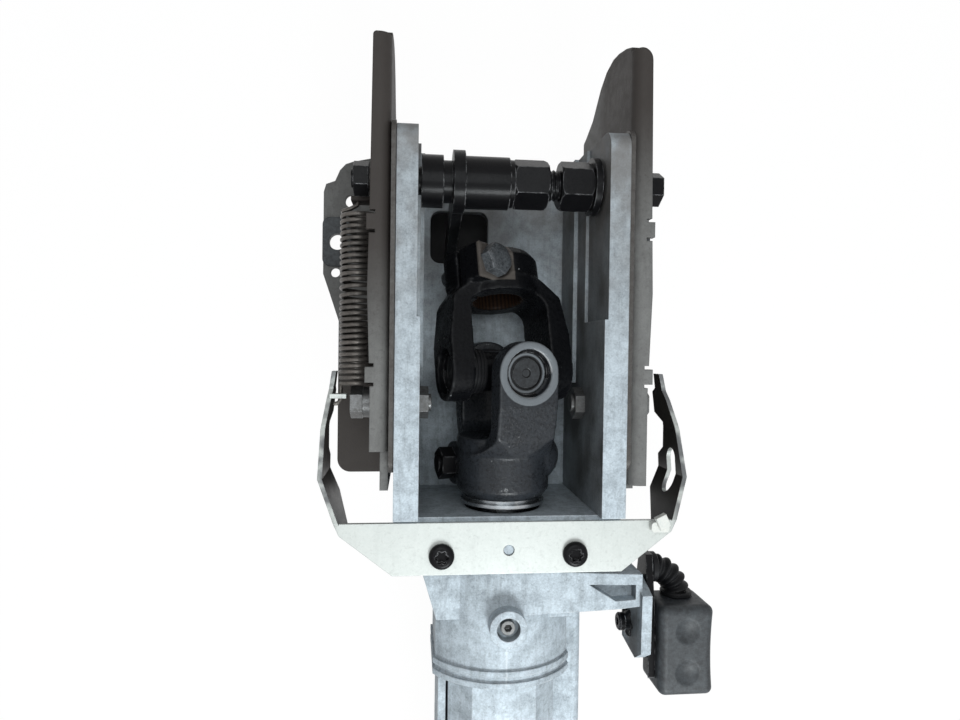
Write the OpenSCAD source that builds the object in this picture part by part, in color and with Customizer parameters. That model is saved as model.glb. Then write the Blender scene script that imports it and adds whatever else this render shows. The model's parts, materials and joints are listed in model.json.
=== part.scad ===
// Tilt and reach steering column with its universal joint in an open channel housing.
// Millimetres. X runs across the column, Y along the steering axis towards the steering gear,
// Z out of the open side of the housing. The origin is on the mounting face, on the plane of
// symmetry, midway between the upper and the lower row of mounting bolts.

/* [Steering axis] */
// Height of the steering axis above the mounting face
axis_z = 64; // [62:0.5:65]
// Place of the universal joint along the column
joint_y = -16; // [-18:1:-14]
// Turn of the steering shaft at rest, in degrees
spin_rest = 15; // [0:1:30]
// Droop of the loose upper yoke at rest, in degrees
droop = 15; // [10:1:16]

/* [Housing] */
// Clear width of the channel
channel_w = 77; // [77:0.5:82]
// Thickness of the channel walls
wall_t = 10.3; // [9:0.1:12]
// Height of the open edge of the walls
wall_front = 93; // [91:0.5:95]
// Height of the channel floor
floor_z = 20; // [18:0.5:21]
// Thickness of the channel floor
floor_t = 6; // [5:0.5:7]
// End of the walls towards the steering gear
wall_end_y = 87; // [84:0.5:90]
// Thickness of the bearing wall
bearing_wall_t = 12; // [11:0.5:13]
// Half width of the barrel
barrel_half = 30; // [29:0.5:32]
// Height of the barrel crown
barrel_top = 84; // [83.5:0.5:85]
// Length of the barrel below the bearing wall
barrel_l = 63; // [60:1:68]
// Diameter of the guide screw boss
boss_d = 16; // [14:0.5:18]
// Distance of the guide screw from the bearing wall
boss_off = 35; // [33:1:37]

/* [Bracket] */
// Sheet thickness of the side arms
arm_t = 3.5; // [3:0.25:4]
// Width of the front lip
lip_w = 9.2; // [8:0.1:10]
// Bend radius of the sheet, outside
bend_r = 5; // [4.5:0.25:6]
// Thickness of the friction plates
friction_t = 2; // [1.5:0.1:3]
// Distance from the origin to each row of mounting bolts
bolt_row = 50; // [48:1:52]
// Half distance between the upper mounting bolts
upper_bolt_x = 82; // [81:0.5:83]
// Half distance between the lower mounting bolts, in the cross plate
lower_bolt_x = 30; // [26:0.5:34]
// Diameter of the mounting holes
mount_d = 8.6; // [8.2:0.1:9.4]
// Diameter of the tapped holes in the cross plate
tapped_d = 6.8; // [6:0.1:7.4]

/* [Tilt pivot and clamp] */
// Place of the tilt pivot along the column
pivot_y = -31; // [-32:0.5:-30]
// Height of the tilt pivot
pivot_z = 57; // [55:0.5:59]
// Diameter of the pivot bolts
pivot_d = 8; // [7:0.5:9]
// Place of the clamp stud along the column
clamp_y = 66; // [65:0.5:67]
// Height of the clamp stud
clamp_z = 76; // [75:0.5:77]
// Diameter of the clamp stud
stud_d = 12; // [11:0.5:13]
// Diameter of the stud ends in the arm slots
stud_end_d = 8; // [7:0.5:9]
// Tilt each way from the middle, in degrees
tilt_deg = 2.5; // [1.5:0.25:2.5]

/* [Universal joint] */
// Distance across the outer faces of a pair of ears
ear_span = 57.5; // [56:0.5:59]
// Outer diameter of an ear
ear_d = 27; // [25:0.5:28]
// Diameter of the bearing cups
cup_d = 17.5; // [16:0.5:18]
// Diameter of the trunnions
trunnion_d = 12; // [11:0.5:13]
// Distance from the joint to the end of the upper yoke
upper_yoke_l = 54; // [52:0.5:56]
// Distance from the joint to the end of the lower yoke
lower_yoke_l = 56; // [54:0.5:57]
// Bore of the upper yoke, for the intermediate shaft
upper_bore_d = 22; // [20:0.5:23]
// Number of serrations in the upper bore
serrations = 36; // [24:1:44]
// Diameter of the pinch bolts
pinch_d = 8; // [7:0.5:8]

/* [Shafts and jacket] */
// Diameter of the lower shaft
shaft_d = 17; // [16:0.5:17]
// Outer diameter of the upper shaft tube
tube_d = 25; // [24:0.5:25]
// Bore of the jacket around the tube
jacket_bore_d = 27; // [26.5:0.25:27.5]
// Half width of the jacket
jacket_half = 24; // [23.5:0.25:24.5]
// Height of the jacket crown
jacket_top = 80.5; // [80:0.25:81]
// Length of the jacket
jacket_l = 232; // [220:1:250]
// Reach each way from the middle
reach = 16; // [10:1:16]

/* [Guard plate and levers] */
// Height of the front face of the guard plate
guard_z = 88; // [87.5:0.25:88.5]
// Sheet thickness of the guard plate
guard_t = 2; // [1.5:0.25:2]
// Half width of the guard plate at its upper edge
guard_half = 71; // [69:0.5:72]
// Half distance between the guard screws
guard_screw_x = 28.5; // [27:0.5:30]
// Width of the release grip
grip_w = 25; // [22:0.5:26]
// Length of the release grip
grip_l = 39.5; // [36:0.5:41]

/* [Balance spring] */
// Outer diameter of the spring
spring_d = 16; // [14:0.5:16]
// Wire diameter
wire_d = 2; // [1.6:0.1:2.2]
// Number of coils
coils = 29; // [20:1:32]

/* [Hidden] */
$fn = 64;
// Clearances: seated in one body, running on a pin, beside a moving face, sliding
seat = 0.03;
running = 0.06;
side_clear = 0.2;
slide_clear = 0.3;
eps = 0.01;

wall_in = channel_w / 2;
wall_out = wall_in + wall_t;
floor_back = floor_z - floor_t;
// Joint to bearing wall, leaving room for the dust washers
bearing_gap = 5;
bearing_wall_y = joint_y - lower_yoke_l - bearing_gap;
arm_in = wall_out + friction_t + 2 * side_clear;
arm_out = arm_in + arm_t;
lip_out = arm_in + lip_w;
bearing_back_y = bearing_wall_y - bearing_wall_t;
barrel_end_y = bearing_back_y - barrel_l;
boss_y = bearing_back_y - boss_off;

// Hexagons and screw heads
pivot_af = 13;
pivot_head_h = 5.5;
pivot_nut_h = 4.5;
pivot_tip = 1.3;
pinch_af = 13;
pinch_head_h = 5.3;
spot_r = pinch_af / 2 + 1.6;
nut_af = 19;
end_nut_af = 13;
end_nut_h = 6.5;

// Universal joint, measured from the joint centre
ear_half = ear_span / 2;
ear_t = 10.5;
ear_in = ear_half - ear_t;
cup_recess = 4;
cup_face = ear_half - cup_recess;
cup_in = ear_in - 1;
cup_r = cup_d / 2;
trunnion_r = trunnion_d / 2;
trunnion_end = cup_face - 2.6;
lower_hub_r = 21;
lower_gap = 29;
upper_gap = 33;
leg_w = 30;
leg_taper = 3;
hub_blend = 8;
hub_chamfer = 4;
crotch_r = 7;
root_r = 10;
slot_half = 0.7;
shaft_r = shaft_d / 2;
pinch_r = pinch_d / 2;
upper_bore_r = upper_bore_d / 2;
upper_hub_r = upper_bore_r + 9;
groove = 0.7;
pinch_off = upper_bore_r + groove + pinch_r + 0.3;
pinch_turn = 25;
pinch_seat = 13.5;
upper_pinch_y = upper_yoke_l - 8.5;
lug_half = 8.2;
lug_back = 6;
lower_pinch_y = -43;
lower_pinch_z = -shaft_r - pinch_r - 0.5;

// Bearings
ball_gap = 3.5;
ring_t = 2.6;
bearing_w = 8;
lower_bearing_r = shaft_r + 2 * ring_t + ball_gap;
upper_bearing_r = tube_d / 2 + 2 * ring_t + ball_gap;

// Jacket and shafts along Y
jacket_y = bearing_back_y - reach - 1;
jacket_end_y = jacket_y - jacket_l;
head_l = 34;
tube_y = jacket_y - 14;
lower_shaft_end_y = jacket_y - 120;
wheel_seat_d = 17;
wheel_seat_l = 24;
wheel_thread_d = 14;
wheel_thread_l = 15;

// Outer arms of the clamp
clamp_arm = sqrt(pow(clamp_y - pivot_y, 2) + pow(clamp_z - pivot_z, 2));
clamp_angle = atan2(clamp_z - pivot_z, clamp_y - pivot_y);
slide_plate_t = 3;
slide_plate_x = arm_out + side_clear;
slide_plate_half = 3.6;
slide_plate_l = 27;
collar_r = 5;
clamp_travel = clamp_arm * sin(tilt_deg);
// The lip of the arms passes over the collars of the slide plates at the upper end of the tilt
arm_h = clamp_z + collar_r + clamp_travel + slide_clear + arm_t;
end_nut_x = lip_out + slide_clear;

// Stack on the clamp stud, from the left wall to the right wall
sleeve_d = 22.4;
sleeve_a_l = 13.2;
cam_t = 5;
sleeve_b_l = 21;
nut_c_l = 15;
nut_d_l = 14;
washer_d = 25;
washer_t = 3;
cam_x0 = -wall_in + sleeve_a_l + side_clear;
cam_x1 = cam_x0 + cam_t;
sleeve_b_x0 = cam_x1 + side_clear;
sleeve_b_x1 = sleeve_b_x0 + sleeve_b_l;
nut_c_x1 = sleeve_b_x1 + nut_c_l;
nut_d_x0 = wall_in - washer_t - nut_d_l;
cam_ring_r = 13.5;
cam_reach = 66;
cam_tail_r = 4;
cam_angle = -20;

// Release lever
lug_x0 = 59;
lug_t = 4.5;
lever_t = 3.2;
lever_pin_y = bearing_back_y - 42;
lever_pin_z = 68;
lever_pin_r = 4;
lever_x0 = lug_x0 + lug_t + slide_clear;
lever_x1 = lever_x0 + lever_t;
grip_y1 = bearing_back_y - 28.5;
grip_d = 24;
boot_r = 5.5;
boot_bend = 13;

// Balance spring
spring_x = -66.6;
spring_z = 60;
spring_y0 = pivot_y + 8.5;
spring_y1 = 55;
spring_ear_t = 2;
spring_ear_gap = 4.5;
spring_ear_half = 3.3;
spring_ear_edge = 3;

// Basic shapes along one axis
module rod_x(r, x0, x1) translate([x0, 0, 0]) rotate([0, 90, 0]) cylinder(r = r, h = x1 - x0);
module rod_y(r, y0, y1) translate([0, y1, 0]) rotate([90, 0, 0]) cylinder(r = r, h = y1 - y0);
module rod_z(r, z0, z1) translate([0, 0, z0]) cylinder(r = r, h = z1 - z0);
module block(low, high) translate(low) cube(high - low);
module along_x(x0, x1) translate([x0, 0, 0]) rotate([90, 0, 90]) linear_extrude(x1 - x0) children();
module along_y(y0, y1) translate([0, y1, 0]) rotate([90, 0, 0]) linear_extrude(y1 - y0) children();
module along_z(z0, z1) translate([0, 0, z0]) linear_extrude(z1 - z0) children();
module hexagon(af) circle(r = af / sqrt(3), $fn = 6);
module tube_x(r1, r0, x0, x1) {
    difference() {
        rod_x(r1, x0, x1);
        rod_x(r0, x0 - 1, x1 + 1);
    }
}
module tube_y(r1, r0, y0, y1) {
    difference() {
        rod_y(r1, y0, y1);
        rod_y(r0, y0 - 1, y1 + 1);
    }
}
module both() {
    children();
    mirror([1, 0, 0]) children();
}
module rounded_rect(low, high, r) {
    translate(low + [r, 0]) square([high.x - low.x - 2 * r, high.y - low.y]);
    translate(low + [0, r]) square([high.x - low.x, high.y - low.y - 2 * r]);
    for (x = [low.x + r, high.x - r])
        for (y = [low.y + r, high.y - r])
            translate([x, y]) circle(r);
}
// Waste outside a rounded corner at the origin, with the metal on the side of -x, -y
module corner_waste(r) {
    difference() {
        translate([-r, -r]) square(r + 1);
        translate([-r, -r]) circle(r);
    }
}
// Slot that follows the clamp stud about the tilt pivot
module clamp_slot(r, turn) {
    translate([pivot_y, pivot_z]) rotate(clamp_angle) {
        intersection() {
            difference() {
                circle(clamp_arm + r, $fn = 128);
                circle(clamp_arm - r, $fn = 128);
            }
            polygon([[0, 0], for (a = [turn, -turn]) 2 * clamp_arm * [cos(a), sin(a)]]);
        }
        for (a = [-turn, turn])
            translate(clamp_arm * [cos(a), sin(a)]) circle(r);
    }
}
module at_axis() translate([0, 0, axis_z]) children();
module at_joint() translate([0, joint_y, axis_z]) rotate([0, spin_rest, 0]) children();
module at_droop() at_joint() rotate([-droop, 0, 0]) children();
module at_pivot() translate([0, pivot_y, pivot_z]) children();
module at_clamp() translate([0, clamp_y, clamp_z]) children();

// Side arms
arm_foot_y = -66;
arm_top_y = 131;
slot_room = 0.4;
tab_w = 6.5;
tab_reach = 0.6;
tab_notch = 1.5;
notch_depth = 3;
upper_tab_y = 45.8;
lower_tab_y = -17.2;
lip_waist = 1.5;
lip_back = 8;
capsule_w = 13;
capsule_l = 22;
flange_edge = 89.4;
flange_waist = 81;
flange_foot_y = -73;
drain_hole = [83, 33.8];
drain_r = 2.5;
arch_hole = [74.6, 72];
arch_r = 3.5;

// Rounded head of the web, seen from the side
module arm_outline() {
    polygon([
        [arm_foot_y, 0], [arm_top_y - 25, 0], [arm_top_y - 22, 0.11 * arm_h],
        [arm_top_y - 17, 0.25 * arm_h], [arm_top_y - 6, 0.41 * arm_h], [arm_top_y - 1.5, 0.52 * arm_h],
        [arm_top_y, 0.64 * arm_h],
        [arm_top_y - 1, 0.74 * arm_h], [arm_top_y - 3.5, 0.86 * arm_h],
        [arm_top_y - lip_back, arm_h], [arm_foot_y, arm_h]
    ]);
}
// Web, front lip and both bends of the right arm, as a section across the column
module arm_section() {
    translate([arm_in, bend_r]) square([arm_t, arm_h - 2 * bend_r]);
    translate([arm_in + bend_r, arm_h - arm_t]) square([lip_w - bend_r, arm_t]);
    for (z = [bend_r, arm_h - bend_r])
        intersection() {
            translate([arm_in + bend_r, z]) difference() {
                circle(bend_r);
                circle(bend_r - arm_t);
            }
            translate([arm_in, z < arm_h / 2 ? 0 : arm_h - bend_r]) square(bend_r);
        }
}
// Plan of the lip: waisted below the lower tab and towards the rounded tip
module lip_plan(tip_r) {
    difference() {
        polygon([
            [arm_in - 1, arm_foot_y - 1], [lip_out - lip_waist, arm_foot_y - 1],
            [lip_out - lip_waist, lower_tab_y - tab_w], [lip_out, 0.4 * upper_tab_y],
            [lip_out - lip_waist / 2, upper_tab_y + tab_w], [lip_out - lip_waist, arm_top_y - lip_back],
            [arm_in - 1, arm_top_y - lip_back]
        ]);
        translate([lip_out - lip_waist, arm_top_y - lip_back]) corner_waste(tip_r);
    }
}
module flange_outline() {
    foot_r = 7;
    difference() {
        polygon([
            [arm_in + bend_r, flange_foot_y], [flange_waist, flange_foot_y], [flange_waist, 8], [86, 23],
            [flange_edge, 33], [flange_edge, 76.5], [flange_edge - 1.2, 80.7], [83.5, 82.5], [81, 88.3],
            [78, 91.6], [74, 93.1], [arm_in + bend_r, 97]
        ]);
        translate([flange_waist, flange_foot_y]) mirror([0, 1]) corner_waste(foot_r);
    }
}
module side_arm(lip_foot_y, tip_r) {
    difference() {
        union() {
            difference() {
                intersection() {
                    along_y(arm_foot_y, arm_top_y) arm_section();
                    along_x(arm_in, lip_out) arm_outline();
                }
                along_z(arm_h - bend_r, arm_h + 1) difference() {
                    translate([arm_in - 2, arm_foot_y - 2]) square([lip_w + 4, arm_top_y - arm_foot_y + 4]);
                    lip_plan(tip_r);
                }
            }
            along_z(0, arm_t) flange_outline();
            for (y = [upper_tab_y, lower_tab_y])
                block([lip_out - notch_depth, y - tab_w / 2, arm_h - arm_t],
                    [lip_out + tab_reach, y + tab_w / 2, arm_h]);
        }
        // The lip ends above the foot of the web
        block([arm_out - eps, arm_foot_y - 1, arm_h - bend_r - 4], [lip_out + 1, lip_foot_y, arm_h + 1]);
        block([arm_in - 1, arm_foot_y - 1, arm_h - bend_r], [lip_out, lip_foot_y, arm_h + 1]);
        // Relief notches beside the tabs
        for (y = [upper_tab_y, lower_tab_y])
            for (s = [-1, 1])
                translate([lip_out - notch_depth, y + s * (tab_w + tab_notch) / 2])
                    block([0, -tab_notch / 2, arm_h - arm_t - 1], [notch_depth + 1, tab_notch / 2, arm_h + 1]);
        along_x(arm_in - 1, arm_out + 1) clamp_slot(stud_end_d / 2 + slot_room, tilt_deg + 0.5);
        at_pivot() rod_x(pivot_d / 2 + running, arm_in - 1, arm_out + 1);
        at_rivets() rod_x(rivet_r + seat, arm_in - 1, arm_out + 1);
        // Slot for the shear capsule, drain hole and the small hole of the arch
        along_z(-1, arm_t + 1) {
            rounded_rect([upper_bolt_x - capsule_w / 2, bolt_row - capsule_l / 2],
                [upper_bolt_x + capsule_w / 2, bolt_row + capsule_l / 2], 3);
            translate(drain_hole) circle(drain_r);
            translate(arch_hole) circle(arch_r);
        }
    }
}
// Ear across the wire of the balance spring, on the right; the left pieces mirror it
module spring_ear(x0, x1, hole_x, y, z0) {
    difference() {
        block([x0, y, z0], [x1, y + spring_ear_t, spring_z + spring_ear_half]);
        translate([hole_x, 0, spring_z]) rod_y(wire_d / 2 + slide_clear, y - 1, y + spring_ear_t + 1);
    }
}
module left_side_arm() {
    color("#a9a69f") mirror([1, 0, 0]) {
        side_arm(-49, 1.5);
        spring_ear(arm_out - eps, -spring_x + spring_ear_edge, -spring_x, spring_y1 + spring_ear_gap,
            spring_z - 2 * spring_ear_half);
    }
}
module right_side_arm() color("#a9a69f") side_arm(-64, 5);

// Cross plate behind the channel, riveted to inward feet
plate_foot = -62;
plate_half = arm_in - side_clear;
plate_head = 16;
apron_head = 72;
apron_t = 1.5;
plate_corner_r = 3;
foot_inset = 6;
foot_h = 10.4;
rivet_y = [-50, -22, 6];
rivet_r = 2;
rivet_z = 7.2;
rivet_head_r = 3.1;
rivet_head_h = 1.4;
module at_rivets() for (y = rivet_y) translate([0, y, rivet_z]) children();
module rear_cross_plate() {
    color("#a9a69f") difference() {
        union() {
            along_z(0, arm_t)
                rounded_rect([-plate_half, plate_foot], [plate_half, plate_head], plate_corner_r);
            // Thin apron under the window of the floor, clear of the cam lever
            along_z(0, apron_t)
                rounded_rect([-plate_half, plate_foot], [plate_half, apron_head], plate_corner_r);
            both() along_y(plate_foot + foot_inset, plate_head - foot_inset)
                translate([arm_in - arm_t - seat, 0]) square([arm_t, foot_h]);
        }
        both() at_rivets() rod_x(rivet_r + seat, arm_in - 2 * arm_t, arm_out);
        both() translate([lower_bolt_x, -bolt_row]) rod_z(tapped_d / 2, -1, arm_t + 1);
    }
}
module cross_plate_rivets() {
    color("#8d8b86") both() at_rivets() {
        rod_x(rivet_r, arm_in - arm_t - rivet_head_h, arm_out);
        rod_x(rivet_head_r, arm_in - arm_t - 2 * seat - rivet_head_h, arm_in - arm_t - 2 * seat);
    }
}
module friction_plates() {
    color("#77746f") both() along_x(wall_out + side_clear, wall_out + side_clear + friction_t)
        difference() {
            rounded_rect([-58, 24], [wall_end_y + 1, wall_front - 1], 6);
            clamp_slot(stud_d / 2 + slot_room, tilt_deg + 0.5);
            translate([pivot_y, pivot_z]) circle(pivot_d / 2 + slide_clear);
        }
}
module shear_capsules() {
    color("#1d1d1f") both() difference() {
        union() {
            along_z(0, arm_t)
                rounded_rect([upper_bolt_x - capsule_w / 2 + seat, bolt_row - capsule_l / 2 + seat],
                    [upper_bolt_x + capsule_w / 2 - seat, bolt_row + capsule_l / 2 - seat], 3);
            along_z(arm_t + seat, arm_t + 1.5)
                rounded_rect([upper_bolt_x - capsule_w / 2 - 1.2, bolt_row - capsule_l / 2 - 2],
                    [upper_bolt_x + capsule_w / 2 + 1.2, bolt_row + capsule_l / 2 + 2], 4);
            along_z(arm_t - 1, arm_t + 1)
                translate([upper_bolt_x, bolt_row]) circle(mount_d / 2 + 1.5);
        }
        translate([upper_bolt_x, bolt_row]) rod_z(mount_d / 2, -1, arm_t + 4);
    }
}
bush_l = 9;
module pivot_bushes() {
    color("#8f8d88") at_pivot() both()
        tube_x(pivot_d / 2 + 3, pivot_d / 2 + running, arm_out + seat, arm_out + bush_l);
}

// Balance spring: one swept polyhedron along a helix, with a straight end through an ear each way
spring_steps = 14;
spring_sides = 6;
spring_r = (spring_d - wire_d) / 2;
spring_pitch = (spring_y1 - spring_y0) / coils;
function helix_point(t) = [-spring_r * cos(360 * t), spring_y0 + spring_pitch * t, spring_r * sin(360 * t)];
helix = [for (i = [0:coils * spring_steps]) helix_point(i / spring_steps)];
wire_path = concat(
    [for (p = [[-3, -9], [0, -8.5], [0, -2]]) [p.x - spring_r, spring_y0 + p.y, 0]],
    helix,
    [for (p = [[0, 3], [0, 8.5], [5, 9]]) [p.x, spring_y1 + p.y, 0]]
);
function unit(v) = v / norm(v);
function tangent(path, i) = unit(path[min(i + 1, len(path) - 1)] - path[max(i - 1, 0)]);
module sweep(path, r, sides) {
    step = 360 / sides;
    rings = [
        for (i = [0:len(path) - 1])
            let (t = tangent(path, i), a = unit(cross(t, [0, 1, 0.001])), b = cross(t, a))
                [for (k = [0:sides - 1]) path[i] + r * (cos(k * step) * a + sin(k * step) * b)]
    ];
    last = (len(path) - 1) * sides;
    points = [for (ring = rings) for (p = ring) p];
    skin = [
        for (i = [0:len(path) - 2])
            for (k = [0:sides - 1])
                let (n = (k + 1) % sides)
                    [i * sides + k, i * sides + n, (i + 1) * sides + n, (i + 1) * sides + k]
    ];
    start_cap = [[for (k = [sides - 1:-1:0]) k]];
    end_cap = [[for (k = [0:sides - 1]) last + k]];
    polyhedron(points, concat(skin, start_cap, end_cap));
}
module balance_spring() {
    color("#4a4845") translate([spring_x, 0, spring_z]) sweep(wire_path, wire_d / 2, spring_sides);
}

// Housing casting
foot_in = 2;
foot_top = 45;
foot_end_y = pivot_y + 9;
recess_depth = 1.5;
recess_y = 7;
recess_z = 60;
floor_end_y = 80;
window_low = [-33, 38];
window_high = [-3, 65];
dome_edge = 68;
shoulder_drop = 6;
dome_r = (pow(barrel_half, 2) + pow(barrel_top - dome_edge, 2)) / (2 * (barrel_top - dome_edge));
barrel_back = 33;
rail_low = [18.5, 30];
rail_high = [40, 56];
rail_end_y = bearing_back_y - 119;
cheek_t = 3.5;
jacket_back = 41;
boss_h = 6.5;
guide_r = 3;
guard_head_y = bearing_wall_y - 2;
guard_screw_y = bearing_wall_y - 16;
guard_foot_y = bearing_wall_y - 24;

// Barrel section: straight sides under a round crown
module barrel_section(grow) {
    intersection() {
        translate([-barrel_half - grow, barrel_back]) square([2 * (barrel_half + grow), barrel_top]);
        translate([0, barrel_top - dome_r]) circle(dome_r + grow, $fn = 128);
    }
}
module jacket_section(grow) {
    polygon([
        [0, jacket_top + grow], [14 + grow / 2, jacket_top - 1 + grow], [jacket_half + grow, 69 + grow / 2],
        [jacket_half + grow, 46 - grow / 2], [16 + grow / 2, jacket_back - grow],
        [-16 - grow / 2, jacket_back - grow],
        [-jacket_half - grow, 46 - grow / 2], [-jacket_half - grow, 69 + grow / 2],
        [-14 - grow / 2, jacket_top - 1 + grow]
    ]);
}
module channel_section() {
    translate([-wall_out, floor_back]) square([2 * wall_out, floor_t]);
    both() translate([wall_in, floor_back]) square([wall_t, wall_front - floor_back]);
}
// Walls of the channel with their feet, recesses and rounded ends
module channel() {
    difference() {
        union() {
            along_y(bearing_wall_y, wall_end_y) channel_section();
            both() block([wall_in - foot_in, foot_end_y, floor_z], [wall_in + 1, wall_end_y, foot_top]);
        }
        block([-wall_in + foot_in, floor_end_y, floor_back - 1],
            [wall_in - foot_in, wall_end_y + 1, floor_z + 1]);
        both() block([wall_in - 1, recess_y, recess_z],
            [wall_in + recess_depth, wall_end_y + 1, wall_front + 1]);
        along_x(-wall_out - 1, wall_out + 1) {
            translate([wall_end_y, wall_front]) corner_waste(8);
            translate([wall_end_y, floor_back]) mirror([0, 1]) corner_waste(12);
        }
        along_z(floor_back - 1, floor_z + 1) rounded_rect(window_low, window_high, 5);
    }
}
// Flat arm and pentagon lug that carry the release lever, placed from the back of the bearing wall
module lug_arm() {
    translate([0, bearing_back_y, 0]) {
        difference() {
            along_z(68, barrel_top)
                polygon([[0, -12], [lug_x0 + 1, -15], [lug_x0 + 1, -29], [50, -30], [0, -32]]);
            along_z(barrel_top - 6, barrel_top + 1)
                polygon([[36, -19], [lug_x0 - 2, -19.5], [lug_x0 - 2, -26], [48, -26.5]]);
        }
        along_x(lug_x0, lug_x0 + lug_t)
            polygon([[-18.5, 73], [-23.5, 87], [-49.5, 86], [-54.5, 78], [-52, 60], [-24.5, 58]]);
    }
}
module column_housing() {
    color("#b6b8ba") difference() {
        union() {
            channel();
            along_y(bearing_back_y, bearing_wall_y + eps)
                translate([-wall_out, floor_back]) square([2 * wall_out, guard_z - guard_t - floor_back]);
            along_y(barrel_end_y, bearing_back_y + eps) barrel_section(0);
            for (y = [barrel_end_y, barrel_end_y + 5])
                along_y(y, y + 2.5) barrel_section(1);
            // Shoulder that narrows from the bearing wall to the barrel
            along_z(barrel_back, barrel_top - shoulder_drop)
                translate([0, bearing_back_y]) polygon([[-37, eps], [-37, -12], [-barrel_half, -boss_off],
                    [barrel_half, -boss_off], [37, -12], [37, eps]]);
            both() translate([guard_screw_x, guard_screw_y]) rod_z(7.5, barrel_back, guard_z - guard_t);
            translate([0, guard_screw_y + 2]) rod_z(2.2, barrel_top - 4, guard_z - 0.5);
            translate([0, boss_y]) rod_z(boss_d / 2, barrel_top - 4, barrel_top + boss_h);
            lug_arm();
            along_y(rail_end_y, bearing_back_y - 16) rounded_rect(rail_low, rail_high, 3);
            along_y(rail_end_y, barrel_end_y + eps)
                translate([-jacket_half - 1 - cheek_t, barrel_back + 6]) square([cheek_t, dome_edge - barrel_back - 6]);
            along_y(rail_end_y, barrel_end_y + eps)
                translate([-jacket_half - 1 - cheek_t, barrel_back]) square([jacket_half + cheek_t + 24, 7]);
        }
        at_axis() {
            rod_y(lower_bearing_r + seat, lower_bearing_y - bearing_w - seat, bearing_wall_y + 1);
            rod_y(lower_bearing_r - 3, bearing_back_y - 1, bearing_wall_y);
        }
        along_y(rail_end_y - 1, bearing_back_y) jacket_section(slide_clear);
        at_axis() tube_y(lower_bearing_r + 1.2, lower_bearing_r - 0.5, bearing_wall_y - 2.4, bearing_wall_y - 1.2);
        at_pivot() rod_x(pivot_d / 2 + seat, -wall_out - 1, wall_out + 1);
        at_clamp() rod_x(stud_d / 2 + seat, -wall_out - 1, wall_out + 1);
        translate([0, boss_y]) {
            rod_z(guide_r + seat, jacket_top, barrel_top + boss_h + 1);
            rod_z(5, barrel_top + boss_h - 5, barrel_top + boss_h + 1);
        }
        both() translate([guard_screw_x, guard_screw_y]) rod_z(2.5 + seat, guard_z - 20, guard_z);
        translate([0, lever_pin_y, lever_pin_z]) rod_x(lever_pin_r + seat, lug_x0 - 1, lug_x0 + lug_t + 1);
    }
}

// Guard plate with its two folded wings
wing_tip_y = -17;
wing_out = 81;
wing_tip_x = 78;
wing_ear_x = 78.2;
wing_ear_in = 70.8;
module wing_path() {
    outer = [[guard_half, guard_head_y - 5], [wing_out, -62], [wing_out, -42], [wing_tip_x, wing_tip_y]];
    inner = [for (p = outer) p - [guard_t, 0]];
    polygon(concat(outer, [for (i = [len(inner) - 1:-1:0]) inner[i]]));
}
module wing_side() {
    polygon([
        [guard_head_y - 6, guard_z], [guard_head_y - 6, 70], [-72, 52], [-56, 50], [-52, 56], [-40, 56], [-36, 46],
        [-26, 46], [-24, 50], [wing_tip_y, 50], [wing_tip_y, 57], [-25, 59], [-29, 63], [-40, 70], [-62, 80],
        [guard_head_y, guard_z]
    ]);
}
module guard_plate() {
    color("#cfcdc0") difference() {
        union() {
            along_z(guard_z - guard_t, guard_z)
                polygon([
                    [-guard_half, guard_head_y], [guard_half, guard_head_y], [guard_half, guard_head_y - 5],
                    [49, guard_foot_y], [-49, guard_foot_y], [-guard_half, guard_head_y - 5]
                ]);
            both() intersection() {
                along_z(40, guard_z) wing_path();
                along_x(guard_half - 4, 82) wing_side();
            }
            // Inward ear of the left wing, for the lower end of the balance spring
            mirror([1, 0, 0])
                spring_ear(wing_ear_in, wing_ear_x, spring_r - spring_x,
                    spring_y0 - spring_ear_gap - spring_ear_t, spring_z - spring_ear_half);
        }
        both() translate([guard_screw_x, guard_screw_y])
            rod_z(2.5 + 2 * running, guard_z - guard_t - 1, guard_z + 1);
        translate([0, guard_screw_y + 2]) rod_z(2.2 + 2 * running, guard_z - guard_t - 1, guard_z + 1);
        along_x(guard_half, 82) {
            translate([-66, 68]) circle(5);
            translate([-56, 66]) circle(5);
            polygon([[-66, 63], [-56, 61], [-56, 71], [-66, 73]]);
        }
    }
}
module guard_screws() {
    color("#2b2b2d") both() translate([guard_screw_x, guard_screw_y]) difference() {
        union() {
            rod_z(2.5, guard_z - 16, guard_z + 1);
            translate([0, 0, guard_z + seat]) cylinder(r1 = 5.4, r2 = 4, h = 2.6);
        }
        rod_z(2, guard_z + 1, guard_z + 4);
    }
}
module cable_clip() {
    color("#e9e9e4") translate([guard_half - 6, guard_head_y - 2.6, guard_z + seat]) {
        along_z(0, 3) rounded_rect([-4, -2], [4, 2.4], 1.5);
        translate([1, 1.6, 3]) rotate([0, 0, 25]) block([-2.4, -1.2, -0.5], [2.4, 4.2, 2.4]);
    }
}

// Tilt pivot
module pivot_bolts() {
    color("#8b8f94") at_pivot() both() {
        rod_x(pivot_d / 2, wall_in - pivot_nut_h - pivot_tip, arm_out + bush_l + 1);
        along_x(arm_out + bush_l + seat, arm_out + bush_l + pivot_head_h) hexagon(pivot_af);
    }
}
module pivot_nuts() {
    color("#8b8f94") at_pivot() both() along_x(wall_in - pivot_nut_h, wall_in - seat) difference() {
        hexagon(pivot_af);
        circle(pivot_d / 2 + seat);
    }
}

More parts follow.
